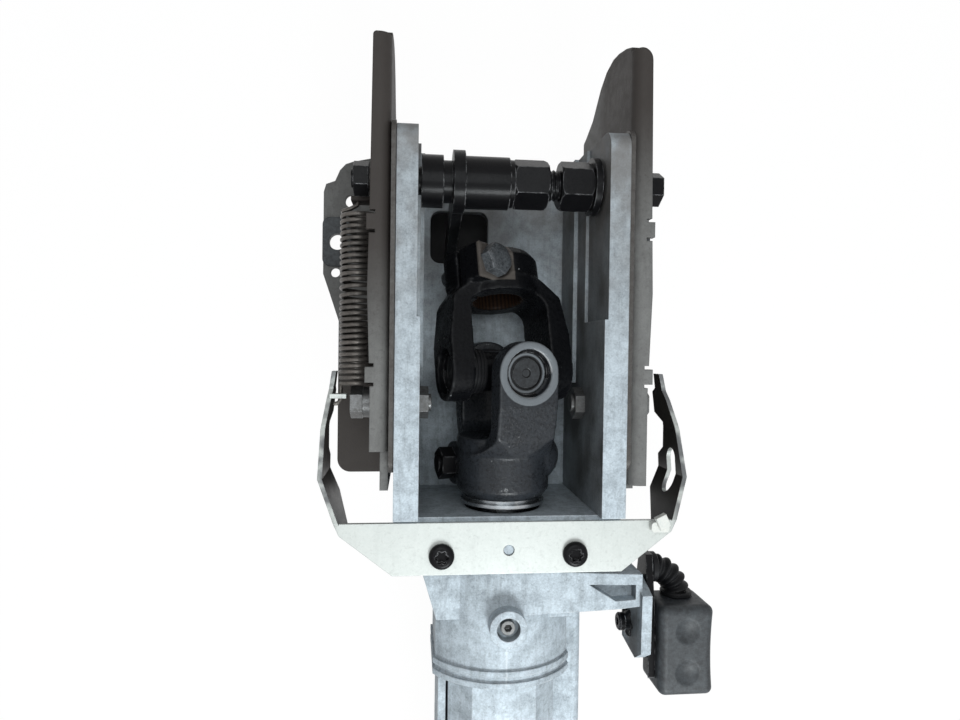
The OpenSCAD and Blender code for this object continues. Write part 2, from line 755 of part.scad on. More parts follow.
// Clamp stud and what is threaded on it
module clamp_stud() {
    color("#26262a") at_clamp() {
        rod_x(stud_d / 2, -arm_in + side_clear, arm_in - side_clear);
        rod_x(stud_end_d / 2, -end_nut_x - end_nut_h - 1, end_nut_x + end_nut_h + 1);
    }
}
module plain_sleeve() {
    color("#1f1f22") at_clamp() {
        tube_x(sleeve_d / 2, stud_d / 2 + seat, -wall_in + seat, -wall_in + sleeve_a_l - 4);
        tube_x(stud_d / 2 + 3, stud_d / 2 + seat, -wall_in + sleeve_a_l - 5, -wall_in + sleeve_a_l);
    }
}
module spacer_sleeve() {
    color("#1f1f22") at_clamp() {
        tube_x(sleeve_d / 2, stud_d / 2 + seat, sleeve_b_x0, sleeve_b_x1 - 2);
        tube_x(sleeve_d / 2 - 1, stud_d / 2 + seat, sleeve_b_x1 - 3, sleeve_b_x1);
    }
}
// Chamfer that rounds one end of a nut
module nut_cone(h) cylinder(r1 = nut_af / 2 + 0.3, r2 = nut_af / 2 + h, h = h);
module stud_nut(x0, x1) {
    at_clamp() intersection() {
        along_x(x0, x1) difference() {
            hexagon(nut_af);
            circle(stud_d / 2 + seat);
        }
        translate([x0, 0, 0]) rotate([0, 90, 0]) nut_cone(x1 - x0);
        translate([x1, 0, 0]) rotate([0, -90, 0]) nut_cone(x1 - x0);
    }
}
module adjusting_nut() color("#242428") stud_nut(sleeve_b_x1 + seat, nut_c_x1);
module lock_nut() color("#242428") stud_nut(nut_d_x0, nut_d_x0 + nut_d_l);
module wall_washer() {
    color("#3a3a3d") at_clamp()
        tube_x(washer_d / 2, stud_d / 2 + seat, wall_in - washer_t + seat, wall_in - seat);
}
module slide_plates() {
    color("#c9cbcc") at_clamp() both() difference() {
        union() {
            along_x(slide_plate_x, slide_plate_x + slide_plate_t)
                rounded_rect([-slide_plate_l / 2, -slide_plate_half], [slide_plate_l / 2, slide_plate_half], 1.5);
            rod_x(collar_r, slide_plate_x, end_nut_x - seat);
        }
        rod_x(stud_end_d / 2 + seat, slide_plate_x - 1, end_nut_x + 1);
    }
}
module stud_end_nuts() {
    color("#1b1b1e") at_clamp() both() along_x(end_nut_x + seat, end_nut_x + end_nut_h) difference() {
        hexagon(end_nut_af);
        circle(stud_end_d / 2 + seat);
    }
}

// Ball bearings about the steering axis
module bearing_inner_ring(r, y) at_axis() tube_y(r + ring_t, r + seat, y - bearing_w, y);
module bearing_outer_ring(r, y)
    at_axis() tube_y(r + 2 * ring_t + ball_gap, r + ring_t + ball_gap, y - bearing_w, y);
module bearing_balls(r, y) {
    mid = r + ring_t + ball_gap / 2;
    count = floor(PI * mid / (ball_gap * 0.75));
    at_axis() for (i = [0:count - 1])
        rotate([0, 360 * i / count, 0]) translate([mid, y - bearing_w / 2, 0])
            sphere(ball_gap / 2 - running, $fn = 24);
}
lower_bearing_y = bearing_wall_y - 2.5;
upper_bearing_y = jacket_end_y + bearing_w + 3;
module lower_bearing_outer() color("#c4c7ca") bearing_outer_ring(shaft_r, lower_bearing_y);
module lower_bearing_balls() color("#dfe2e4") bearing_balls(shaft_r, lower_bearing_y);
module lower_bearing_inner() color("#c4c7ca") bearing_inner_ring(shaft_r, lower_bearing_y);
module snap_ring(r_out, r_in, y, t, gap) {
    at_axis() difference() {
        tube_y(r_out, r_in, y - t, y);
        rotate([0, 45, 0]) block([0, y - t - 1, -gap / 2], [r_out + 1, y + 1, gap / 2]);
    }
}
module bearing_circlip()
    color("#55565a") snap_ring(lower_bearing_r + 1, lower_bearing_r - 1.6, bearing_wall_y - 1.25, 1.1, 6);
module jacket_circlip()
    color("#55565a") snap_ring(upper_bearing_r + 1, upper_bearing_r - 1.6, jacket_end_y + 2.7, 1.1, 6);
module upper_bearing_outer() color("#c4c7ca") bearing_outer_ring(tube_d / 2, upper_bearing_y);
module upper_bearing_balls() color("#dfe2e4") bearing_balls(tube_d / 2, upper_bearing_y);
module upper_bearing_inner() color("#c4c7ca") bearing_inner_ring(tube_d / 2, upper_bearing_y);

module guide_screw() {
    color("#3b3b3e") translate([0, boss_y]) difference() {
        rod_z(guide_r, jacket_top + slide_clear + 0.1, barrel_top + boss_h - 2);
        along_z(barrel_top + boss_h - 5, barrel_top + boss_h) hexagon(3);
    }
}

// Lower shaft and the universal joint
module lower_shaft() {
    color("#7d8085") at_axis() rod_y(shaft_r, lower_shaft_end_y, joint_y - lower_gap - 5);
}
washer_a_r = 16.5;
washer_a_t = 1.4;
washer_b_r = 19;
washer_b_t = 1.5;
washer_a_y = joint_y - lower_yoke_l - seat;
washer_b_y = washer_a_y - washer_a_t - seat;
spacer_y = washer_b_y - washer_b_t - seat;
module dust_washers() {
    color("#c8cacc") at_axis() {
        tube_y(washer_a_r, shaft_r + seat, washer_a_y - washer_a_t, washer_a_y);
        tube_y(washer_b_r, shaft_r + seat, washer_b_y - washer_b_t, washer_b_y);
        tube_y(shaft_r + ring_t, shaft_r + seat, lower_bearing_y + seat, spacer_y);
    }
}
// Fork in its own frame: ears on the local Z axis, hub towards -Y
module fork_side(hub, gap) {
    difference() {
        polygon([
            [ear_d / 2, ear_half], [-ear_d / 2, ear_half], [-gap, ear_half - leg_taper],
            [-gap - hub_blend, hub], [-gap - hub_blend, -hub], [-gap, leg_taper - ear_half],
            [-ear_d / 2, -ear_half], [ear_d / 2, -ear_half]
        ]);
        rounded_rect([-gap, -ear_in], [ear_d, ear_in], crotch_r);
    }
}
// Concave corner of radius r between a stem on the Y axis and a hub on the X axis
module root_fillet(r) {
    difference() {
        square(r);
        translate([r, r]) circle(r);
    }
}
module fork_front(gap) {
    circle(ear_d / 2);
    translate([-ear_d / 2, -gap - hub_blend]) square([ear_d, gap + hub_blend]);
    for (s = [0, 1])
        mirror([s, 0]) translate([ear_d / 2 - eps, -gap - hub_blend]) root_fillet(root_r);
}
// Envelope of the legs: they run out flush into the hub
module leg_cone(hub, gap) {
    translate([0, -gap - hub_blend, 0]) rotate([-90, 0, 0]) {
        cylinder(r1 = hub, r2 = ear_half + 1, h = root_r + eps);
        translate([0, 0, root_r]) cylinder(r = ear_half + ear_d, h = gap + ear_d);
    }
}
module fork(hub, gap, end) {
    intersection() {
        along_x(-leg_w, leg_w) fork_side(hub, gap);
        along_z(-ear_half, ear_half) fork_front(gap);
        leg_cone(hub, gap);
    }
    rod_y(hub, -end + hub_chamfer, -gap);
    translate([0, -end, 0]) rotate([-90, 0, 0]) cylinder(r1 = hub - 3, r2 = hub, h = hub_chamfer + eps);
}
module ear_bores() {
    rod_z(cup_r + seat, -ear_half - 1, ear_half + 1);
    for (s = [0, 180])
        rotate([0, s, 0]) rod_z(cup_r + 1.4, ear_half - cup_recess, ear_half + 1);
}
module cup_pair() {
    for (s = [0, 180])
        rotate([0, s, 0]) difference() {
            rod_z(cup_r, cup_in, cup_face);
            rod_z(trunnion_r + running, cup_in - 1, trunnion_end + 0.2);
            difference() {
                rod_z(6.9, cup_face - 0.7, cup_face + 1);
                rod_z(6.2, cup_face - 1, cup_face + 1);
            }
            rod_z(2, cup_face - 0.5, cup_face + 1);
        }
}
module circlip_pair() {
    for (s = [0, 180])
        rotate([0, s, 0]) difference() {
            rod_z(cup_r + 1.3, ear_half - cup_recess + seat, ear_half - cup_recess + 1.2);
            rod_z(cup_r + seat, ear_half - cup_recess - 1, ear_half);
            rotate(-40) block([0, -4, ear_half - cup_recess - 1], [cup_r + 4, 4, ear_half]);
        }
}
module lower_yoke() {
    color("#1c1c1f") at_joint() difference() {
        union() {
            fork(lower_hub_r, lower_gap, lower_yoke_l);
            translate([0, lower_pinch_y, lower_pinch_z]) rod_x(10, -20, 24);
            translate([24, lower_pinch_y, lower_pinch_z]) sphere(10 - 2 * eps);
            translate([13, -38, 5]) sphere(11.5);
        }
        ear_bores();
        rod_y(shaft_r + seat, -lower_yoke_l - 1, -lower_gap + 1);
        translate([0, lower_pinch_y, lower_pinch_z]) rod_x(pinch_r + seat, -40, 40);
        block([-1.5, -lower_yoke_l - 1, -lower_hub_r - 12], [1.5, -lower_gap - 4, -shaft_r + 2]);
        translate([0, lower_pinch_y, lower_pinch_z]) {
            rod_x(spot_r, 25.5, 40);
            rod_x(spot_r, -40, -20);
        }
    }
}
module lower_pinch_bolt() {
    color("#2a2a2d") at_joint() translate([0, lower_pinch_y, lower_pinch_z]) {
        rod_x(pinch_r, -27.5, 26);
        along_x(25.5 + seat, 25.5 + pinch_head_h) hexagon(pinch_af);
    }
}
module lower_pinch_nut() {
    color("#2a2a2d") at_joint() translate([0, lower_pinch_y, lower_pinch_z])
        along_x(-26.5, -20 - seat) difference() {
            hexagon(pinch_af);
            circle(pinch_r + seat);
        }
}
module lower_cups() color("#6e7276") at_joint() cup_pair();
module lower_circlips() color("#3c3e41") at_joint() circlip_pair();
module joint_cross() {
    color("#34363a") at_joint() {
        rod_z(trunnion_r, -trunnion_end, trunnion_end);
        rod_x(trunnion_r, -trunnion_end, trunnion_end);
        rod_z(trunnion_r + 3, -cup_in + 1, cup_in - 1);
        rod_x(trunnion_r + 3, -cup_in + 1, cup_in - 1);
    }
}
// The upper yoke is the same fork turned end for end, with a split clamp hub
module upper_frame() at_droop() rotate([0, 90, 0]) rotate([0, 0, 180]) children();
module pinch_frame() {
    at_droop() rotate([0, pinch_turn, 0]) translate([-pinch_off, upper_pinch_y, 0]) children();
}
module upper_yoke() {
    color("#1c1c1f") difference() {
        union() {
            upper_frame() fork(upper_hub_r, upper_gap, upper_yoke_l);
            pinch_frame() {
                block([-lug_half, -lug_half, 0], [lug_half, lug_half, pinch_seat]);
                translate([0, 0, -lug_back]) rod_y(lug_half, -lug_half, lug_half);
                block([-lug_half, -lug_half, -lug_back], [lug_half, lug_half, eps]);
            }
        }
        upper_frame() ear_bores();
        at_droop() {
            rod_y(upper_bore_r, 0, upper_yoke_l + 1);
            for (i = [0:serrations - 1])
                rotate([0, 360 * i / serrations, 0]) translate([upper_bore_r, 0, 0]) rotate([0, 45, 0])
                    block([-groove / 2, 0, -groove / 2], [groove / 2, upper_yoke_l + 1, groove / 2]);
        }
        pinch_frame() {
            rod_z(pinch_r + seat, -30, 30);
            rod_z(spot_r, pinch_seat, 30);
            block([-12, upper_gap - upper_pinch_y - 1, -slot_half],
                [pinch_off - upper_bore_r + 2, 12, slot_half]);
        }
    }
}
module upper_pinch_bolt() {
    color("#242427") pinch_frame() {
        rod_z(pinch_r, -pinch_seat - 3, pinch_seat + 1);
        along_z(pinch_seat + seat, pinch_seat + pinch_head_h) rotate(20) hexagon(pinch_af);
    }
}
module upper_cups() color("#6e7276") upper_frame() cup_pair();
module upper_circlips() color("#3c3e41") upper_frame() circlip_pair();

// Sliding jacket and the wheel end
module inner_jacket() {
    color("#b9bbbd") difference() {
        union() {
            along_y(jacket_end_y + head_l - 6, jacket_y) jacket_section(0);
            at_axis() rod_y(upper_bearing_r + 5, jacket_end_y, jacket_end_y + head_l);
        }
        at_axis() {
            rod_y(jacket_bore_d / 2, jacket_end_y - 1, jacket_y + 1);
            rod_y(upper_bearing_r + seat, jacket_end_y - 1, upper_bearing_y + seat);
            tube_y(upper_bearing_r + 1.2, upper_bearing_r - 0.5, jacket_end_y + 1.5, jacket_end_y + 2.8);
        }
    }
}
module upper_shaft() {
    color("#85888c") at_axis() difference() {
        union() {
            rod_y(tube_d / 2, jacket_end_y - 4, tube_y);
            translate([0, jacket_end_y - 10, 0]) rotate([-90, 0, 0])
                cylinder(r1 = wheel_seat_d / 2, r2 = tube_d / 2, h = 6 + eps);
            rod_y(wheel_seat_d / 2, jacket_end_y - 10 - wheel_seat_l, jacket_end_y - 10 + eps);
            rod_y(wheel_thread_d / 2, jacket_end_y - 10 - wheel_seat_l - wheel_thread_l, jacket_end_y - 10);
        }
        rod_y(shaft_r + running, lower_shaft_end_y - reach - 6, tube_y + 1);
    }
}

// Release lever, hinged on a pin in the lug
module lever_pin() {
    color("#4b4c4f") translate([0, lever_pin_y, lever_pin_z]) difference() {
        union() {
            rod_x(lever_pin_r, lug_x0 - 5, lever_x1 - 0.2);
            rod_x(6.2, lug_x0 - 2.2, lug_x0 - seat);
        }
        rod_x(1.8, lug_x0 - 6, lug_x0 - 3);
    }
}
boot_y = grip_y1 + boot_bend;
boot_z = 72;
module release_lever() {
    color("#3f4043") along_x(lever_x0, lever_x1) difference() {
        union() {
            translate([lever_pin_y, lever_pin_z]) circle(8.5);
            polygon([[lever_pin_y - 8, lever_pin_z + 4], [lever_pin_y + 4, lever_pin_z - 8],
                [boot_y - 5, boot_z - 7], [boot_y + 7, boot_z - 4], [boot_y + 7, boot_z + 5],
                [lever_pin_y, lever_pin_z + 14],
                [grip_y1 - grip_l + 6, lever_pin_z + 14]]);
        }
        translate([lever_pin_y, lever_pin_z]) circle(lever_pin_r + running);
    }
}
module lever_grip() {
    color("#232427") difference() {
        intersection() {
            along_x(lever_x1, lever_x1 + grip_w)
                rounded_rect([grip_y1 - grip_l, guard_z - grip_d], [grip_y1, guard_z], 4);
            along_z(guard_z - grip_d, guard_z)
                rounded_rect([lever_x1 - 6, grip_y1 - grip_l], [lever_x1 + grip_w, grip_y1], 5);
        }
        for (k = [0.27, 0.73])
            translate([lever_x1 + grip_w / 2, grip_y1 - grip_l * k, guard_z + 9]) sphere(10.2);
    }
}
module lever_boot() {
    color("#19191b") translate([lever_x1 + seat, grip_y1 + seat, boot_z]) {
        rotate_extrude(angle = 90) translate([boot_bend, 0]) circle(boot_r);
        for (k = [0, 1])
            translate([boot_bend, 0, 0]) rod_y(boot_r + 1.6 - k * 0.8, k * 3, k * 3 + 2.4);
        translate([0, boot_bend, 0]) rod_x(boot_r + 1.2, 0, 3);
    }
}

// Clamp cam lever, its tail through the floor window
module cam_lever() {
    color("#2a2a2d") at_clamp() rotate([cam_angle, 0, 0]) difference() {
        union() {
            rod_x(cam_ring_r, cam_x0, cam_x1);
            along_x(cam_x0, cam_x1)
                polygon([[-9, -8], [9, -8], [cam_tail_r, -cam_reach], [-cam_tail_r, -cam_reach]]);
            translate([0, 0, -cam_reach]) rod_x(cam_tail_r + 0.6, cam_x0, cam_x1);
        }
        rod_x(stud_d / 2 + running, cam_x0 - 1, cam_x1 + 1);
        translate([0, 0, -cam_reach]) rod_x(1.6, cam_x0 - 1, cam_x1 + 1);
    }
}

left_side_arm();
right_side_arm();
rear_cross_plate();
cross_plate_rivets();
friction_plates();
shear_capsules();
pivot_bushes();
balance_spring();
column_housing();
guard_plate();
guard_screws();
cable_clip();
pivot_bolts();
pivot_nuts();
clamp_stud();
plain_sleeve();
spacer_sleeve();
adjusting_nut();
lock_nut();
wall_washer();
slide_plates();
stud_end_nuts();
lower_bearing_outer();
lower_bearing_balls();
bearing_circlip();
guide_screw();
lever_pin();
lower_shaft();
lower_yoke();
lower_pinch_bolt();
lower_pinch_nut();
lower_bearing_inner();
dust_washers();
lower_cups();
lower_circlips();
joint_cross();
upper_yoke();
upper_pinch_bolt();
upper_cups();
upper_circlips();
inner_jacket();
upper_bearing_outer();
upper_bearing_balls();
jacket_circlip();
upper_shaft();
upper_bearing_inner();
release_lever();
lever_grip();
lever_boot();
cam_lever();
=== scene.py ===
"""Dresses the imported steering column: finishes, forged and moulded forms, fine detail, stage."""
import json
import math

import bmesh
import bpy
from bpy.props import FloatProperty, FloatVectorProperty, IntProperty, PointerProperty
from mathutils import Matrix, Vector


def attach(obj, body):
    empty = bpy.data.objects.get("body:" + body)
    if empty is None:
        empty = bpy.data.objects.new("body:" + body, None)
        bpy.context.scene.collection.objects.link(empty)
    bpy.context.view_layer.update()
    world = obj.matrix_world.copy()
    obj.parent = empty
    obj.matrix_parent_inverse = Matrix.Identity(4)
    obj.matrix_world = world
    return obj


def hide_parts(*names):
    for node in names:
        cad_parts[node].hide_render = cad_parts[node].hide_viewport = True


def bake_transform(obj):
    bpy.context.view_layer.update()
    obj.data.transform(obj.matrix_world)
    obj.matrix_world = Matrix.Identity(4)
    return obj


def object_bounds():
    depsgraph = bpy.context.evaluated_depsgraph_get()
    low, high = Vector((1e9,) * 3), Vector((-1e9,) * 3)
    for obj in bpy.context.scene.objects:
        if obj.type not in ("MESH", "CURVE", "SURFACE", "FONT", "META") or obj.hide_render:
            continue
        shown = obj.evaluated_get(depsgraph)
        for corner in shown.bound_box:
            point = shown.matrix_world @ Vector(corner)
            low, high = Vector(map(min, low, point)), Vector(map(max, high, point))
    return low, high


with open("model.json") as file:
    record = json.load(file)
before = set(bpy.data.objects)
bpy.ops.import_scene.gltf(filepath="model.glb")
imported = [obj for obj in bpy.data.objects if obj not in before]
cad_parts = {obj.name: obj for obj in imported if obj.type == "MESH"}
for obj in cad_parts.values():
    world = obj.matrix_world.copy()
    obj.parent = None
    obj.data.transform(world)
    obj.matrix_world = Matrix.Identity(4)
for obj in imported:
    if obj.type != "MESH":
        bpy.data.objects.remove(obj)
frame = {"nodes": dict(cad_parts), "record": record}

bl_info = {
    "name": "Steering column dressing",
    "version": (1, 0, 0),
    "blender": (4, 5, 0),
    "location": "View3D > Sidebar > Column",
    "description": "Finishes, forged forms and fine detail for a tilt steering column",
    "category": "Object",
}

CAD_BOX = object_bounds()
NODES = frame["nodes"]
MM = 0.001
SENSOR_WIDTH = 36.0
TURN = 2.0 * math.pi
WHITE = (1.0, 1.0, 1.0, 1.0)
# The frame has plain materials of the slots' own names, so the finishes are told apart by a prefix
FINISH = "finish_"
COAT_ROUGHNESS = 0.12
BUMP_DEPTH = 0.0004
# Finishes of the solids that differ from their slot's own
VARIANTS = {
    "lower_cups": "cup_steel", "upper_cups": "cup_steel", "friction_plates": "dull_steel",
    "slide_plates": "dull_steel", "guide_screw": "fastener_steel",
}


def moved(x, y, z):
    """A shift in millimetres."""
    return Matrix.Translation((x * MM, y * MM, z * MM))


def turned(degrees, axis):
    """A turn in degrees about an axis."""
    return Matrix.Rotation(math.radians(degrees), 4, axis)


# Frames of the solids, as in the part's source
JOINT = moved(0, -16, 64) @ turned(15, "Y")
DROOP = JOINT @ turned(-15, "X")
PINCH = DROOP @ turned(25, "Y") @ moved(-16, 45.5, 0)
CLAMP = moved(0, 66, 76)


def colour(label, about, rgb):
    """A colour property with its default."""
    return FloatVectorProperty(
        name=label, description=about, default=rgb, subtype="COLOR", min=0.0, max=1.0)


def length(label, about, metres):
    """A length property with its default."""
    return FloatProperty(
        name=label, description=about, default=metres, subtype="DISTANCE", unit="LENGTH")


class ColumnStageSettings(bpy.types.PropertyGroup):
    """Camera and light."""
    camera_place: FloatVectorProperty(
        name="Camera", description="Place of the lens", subtype="TRANSLATION",
        default=(-0.04166, -0.00602, 0.36282))
    pan: FloatProperty(
        name="Pan", description="Turn of the camera about Y", subtype="ANGLE", default=-0.1025)
    tilt: FloatProperty(
        name="Tilt", description="Turn of the camera about X", subtype="ANGLE", default=-0.0168)
    roll: FloatProperty(
        name="Roll", description="Turn of the camera about its own axis", subtype="ANGLE",
        default=0.013)
    lens: FloatProperty(name="Lens", description="Focal length in millimetres", default=24.75)
    key_power: FloatProperty(
        name="Key light", description="Power of the lamp at the wheel end", subtype="POWER", default=4.5)
    fill_power: FloatProperty(
        name="Fill light", description="Power of the lamp above", subtype="POWER", default=2.0)
    ambient: FloatProperty(
        name="Ambient", description="Strength of the even light", default=0.28)


class ColumnColours(bpy.types.PropertyGroup):
    """Base colours of the finishes."""
    casting: colour("Casting", "As-cast aluminium", (0.60, 0.675, 0.735))
    # Bright edges of the casting: rubbed wear and painted highlight.
    casting_edge: colour("Casting edge", "Bright rubbed edges of the casting", (0.70, 0.73, 0.75))
    # Brown film and painted shade towards the casting's upper end.
    casting_film_and_shade: colour("Casting film", "Oily film on the casting's upper end", (0.165, 0.155, 0.148))
    casting_dark: colour("Casting shade", "Darker bloom on the casting", (0.285, 0.322, 0.354))
    arm: colour("Side arm", "Dull sheet steel of the arms", (0.20, 0.20, 0.195))
    arm_dark: colour("Side arm shade", "Darker bloom on the arms", (0.145, 0.143, 0.14))
    # Brown film, and painted shade on the arms' upper ends; also darkens the flanges' lower ends and the dull
    # steel's bloom.
    arm_brown_and_shade: colour("Side arm brown", "Oily brown film on the arms' upper ends", (0.043, 0.037, 0.034))
    zinc: colour("Zinc", "Pale zinc of the guard plate", (0.585, 0.61, 0.59))
    zinc_dark: colour("Zinc shade", "Bloom on the zinc", (0.48, 0.503, 0.485))
    forging: colour("Forging", "Black paint on the yokes", (0.0022, 0.0024, 0.0031))
    # The lower yoke's paint and dust are lighter than the upper yoke's: scuffing and dust, and painted light
    # for a yoke lit from below.
    lower_paint_and_light: colour("Lower yoke", "Scuffed paint of the lower yoke", (0.009, 0.0098, 0.0115))
    lower_dust_and_light: colour("Lower yoke dust", "Dust on the lower yoke", (0.027, 0.031, 0.037))
    forging_dust: colour("Forging dust", "Dust on the black paint", (0.0058, 0.0061, 0.0072))
    bare_forging: colour("Bare forging", "Brown bare metal of the clamp lug", (0.085, 0.075, 0.068))
    black_steel: colour("Black steel", "Oiled black fasteners", (0.0085, 0.0082, 0.0090))
    bright_steel: colour("Bright steel", "Ground steel", (0.50, 0.51, 0.52))
    fastener: colour("Fastener", "Dull zinc bolts", (0.17, 0.175, 0.18))
    wire: colour("Spring wire", "Drawn spring wire", (0.150, 0.134, 0.122))
    plastic: colour("Plastic", "Black moulded plastic", (0.054, 0.062, 0.069))
    # Also the painted shade on the sheet below the housing's window.
    rubber_and_shade: colour("Rubber", "Black seals and boot", (0.009, 0.009, 0.010))
    nylon: colour("Nylon", "Natural nylon clip", (0.80, 0.79, 0.74))
    # Bare metal on rubbed edges, and painted highlight on the edges of the black nuts.
    worn_and_highlight: colour("Worn edge", "Bare metal on worn edges", (0.30, 0.30, 0.31))
    rust: colour("Rust", "Brown film on bare steel", (0.048, 0.027, 0.017))
    machined: colour("Machined", "Machined faces of the joint", (0.150, 0.164, 0.178))
    cup: colour("Cup", "Dark drawn steel of the bearing cups", (0.046, 0.051, 0.056))
    dull_steel: colour("Dull steel", "Dark rubbed steel of the sliding plates", (0.085, 0.082, 0.078))
    # Oily soil, and painted shade in corners, in the channel and inside the guard plate's wings.
    dirt_and_shade: colour("Dirt", "Oily dirt in the corners", (0.045, 0.042, 0.039))


class ColumnSizes(bpy.types.PropertyGroup):
    """Sizes of the fine detail."""
    forging_voxel: length("Forging voxel", "Grid of the rounded forgings", 0.0005)
    forging_rounds: IntProperty(
        name="Forging rounds", description="Smoothing passes on the forgings", default=14)
    thread_pitch: length("Thread pitch", "Pitch of the clamp stud's thread", 0.00175)
    grip_round: length("Grip rounding", "Edge radius of the release grip", 0.0035)
    dimple_depth: length("Dimple depth", "Depth of the two thumb dimples", 0.0017)
    wire_sides: IntProperty(name="Wire sides", description="Facets around the spring wire", default=10)


# Shader helpers

def put(tree, socket, value):
    """Sets a socket to a constant, or links it to another socket."""
    if isinstance(value, bpy.types.NodeSocket):
        tree.links.new(value, socket)
    else:
        socket.default_value = value


def shader(tree, kind, inputs=None, **settings):
    """Adds a shader node with its settings and inputs."""
    made = tree.nodes.new("ShaderNode" + kind)
    for key, value in settings.items():
        setattr(made, key, value)
    for key, value in (inputs or {}).items():
        put(tree, made.inputs[key], value)
    return made


def math_node(tree, operation, a, b=0.0, clamp=False):
    """One step of arithmetic on sockets or numbers."""
    return shader(tree, "Math", {0: a, 1: b}, operation=operation, use_clamp=clamp).outputs[0]


def times(tree, first, *others):
    """Product of sockets or numbers."""
    for other in others:
        first = math_node(tree, "MULTIPLY", first, other)
    return first


def ramp(tree, value, low, high):
    """Spreads the span low to high over 0 to 1."""
    return shader(tree, "MapRange", {"Value": value, "From Min": low, "From Max": high},
                  interpolation_type="SMOOTHSTEP").outputs["Result"]


def spread(tree, value, low, high):
    """Spreads 0 to 1 over the span low to high."""
    return shader(tree, "MapRange", {"Value": value, "To Min": low, "To Max": high}).outputs["Result"]


def object_place(tree):
    """Coordinates that stay with the piece."""
    return shader(tree, "TexCoord").outputs["Object"]


def noise_value(tree, place, scale, detail, roughness=0.5, distortion=0.0):
    """Raw noise; the scale is in patches to the metre."""
    return shader(tree, "TexNoise", {
        "Vector": place, "Scale": scale, "Detail": detail, "Roughness": roughness,
        "Distortion": distortion}).outputs["Fac"]


def blend_colour(tree, factor, a, b):
    """Mixes two colours, given as sockets or values."""
    mix = shader(tree, "Mix", data_type="RGBA")
    put(tree, mix.inputs[0], factor)
    for index, value in ((6, a), (7, b)):
        if not isinstance(value, bpy.types.NodeSocket):
            value = (*value[:3], 1.0)
        put(tree, mix.inputs[index], value)
    return mix.outputs[2]


def shader_group(name, inputs, outputs):
    """An empty node group with float inputs, and its two end nodes."""
    tree = bpy.data.node_groups.new(name, "ShaderNodeTree")
    for label, default in inputs.items():
        made = tree.interface.new_socket(label, in_out="INPUT", socket_type="NodeSocketFloat")
        made.default_value = default
    for label, kind in outputs.items():
        tree.interface.new_socket(label, in_out="OUTPUT", socket_type=kind)
    return tree, tree.nodes.new("NodeGroupInput"), tree.nodes.new("NodeGroupOutput")


def grain_group():
    """Fine grain and broad bloom, as a tone and a height."""
    tree, start, end = shader_group(
        "surface_grain", {"Grain scale": 1500.0, "Bloom scale": 40.0},
        {"Tone": "NodeSocketFloat", "Height": "NodeSocketFloat"})
    place = object_place(tree)
    bloom = start.outputs["Bloom scale"]
    fine = noise_value(tree, place, start.outputs["Grain scale"], 4.0, 0.7)
    broad = noise_value(tree, place, bloom, 5.0, 0.6, 0.4)
    patch = noise_value(tree, place, times(tree, bloom, 7.0), 6.0, 0.7)
    tone = 0.0
    for value, low, high, part in (
            (broad, 0.34, 0.68, 0.25), (patch, 0.36, 0.64, 0.4), (fine, 0.32, 0.68, 0.35)):
        tone = math_node(tree, "ADD", tone, times(tree, ramp(tree, value, low, high), part))
    put(tree, end.inputs["Tone"], tone)
    put(tree, end.inputs["Height"], fine)


def edge_group():
    """A rounded normal and a broken mask along sharp edges."""
    tree, start, end = shader_group(
        "edge_wear", {"Radius": 0.0006, "Gain": 6.0, "Breakup scale": 260.0},
        {"Mask": "NodeSocketFloat", "Normal": "NodeSocketVector"})
    rounded = shader(tree, "Bevel", {"Radius": start.outputs["Radius"]}, samples=4).outputs["Normal"]
    flat = shader(tree, "NewGeometry").outputs["Normal"]
    likeness = shader(tree, "VectorMath", {0: rounded, 1: flat}, operation="DOT_PRODUCT").outputs["Value"]
    bend = math_node(tree, "SUBTRACT", 1.0, likeness)
    edge = math_node(tree, "MULTIPLY", bend, start.outputs["Gain"], clamp=True)
    breakup = noise_value(tree, object_place(tree), start.outputs["Breakup scale"], 5.0, 0.65)
    put(tree, end.inputs["Mask"], times(tree, edge, ramp(tree, breakup, 0.42, 0.62)))
    put(tree, end.inputs["Normal"], rounded)


def grime_and_shade_group():
    """Darkening in corners from ambient occlusion, broken up by noise: soiling and painted shade."""
    tree, start, end = shader_group(
        "corner_grime", {"Reach": 0.012, "Scale": 60.0}, {"Mask": "NodeSocketFloat"})
    open_sky = shader(tree, "AmbientOcclusion", {"Distance": start.outputs["Reach"]}, samples=6).outputs["AO"]
    patch = noise_value(tree, object_place(tree), start.outputs["Scale"], 6.0, 0.65)
    closed = math_node(tree, "SUBTRACT", 1.0, open_sky)
    dirty = math_node(tree, "MULTIPLY", closed, ramp(tree, patch, 0.3, 0.65), clamp=True)
    put(tree, end.inputs["Mask"], dirty)


def drag_group():
    """Drag marks along the object, and scattered pits."""
    tree, start, end = shader_group(
        "drag_marks", {"Scale": 420.0, "Pit scale": 620.0},
        {"Streak": "NodeSocketFloat", "Pits": "NodeSocketFloat"})
    place = object_place(tree)
    drawn = shader(tree, "Mapping", {"Vector": place, "Scale": (1.0, 0.12, 1.0)}).outputs[0]
    streak = noise_value(tree, drawn, start.outputs["Scale"], 4.0, 0.65)
    pits = noise_value(tree, place, start.outputs["Pit scale"], 3.0, 0.6)
    put(tree, end.inputs["Streak"], ramp(tree, streak, 0.46, 0.72))
    put(tree, end.inputs["Pits"], ramp(tree, pits, 0.54, 0.70))


def seen_white(tree):
    """1 for the rays that show the surroundings: camera, mirror and glass."""
    path = shader(tree, "LightPath").outputs
    mirror = math_node(tree, "ADD", path["Is Glossy Ray"], path["Is Transmission Ray"])
    return math_node(tree, "ADD", path["Is Camera Ray"], mirror, clamp=True)


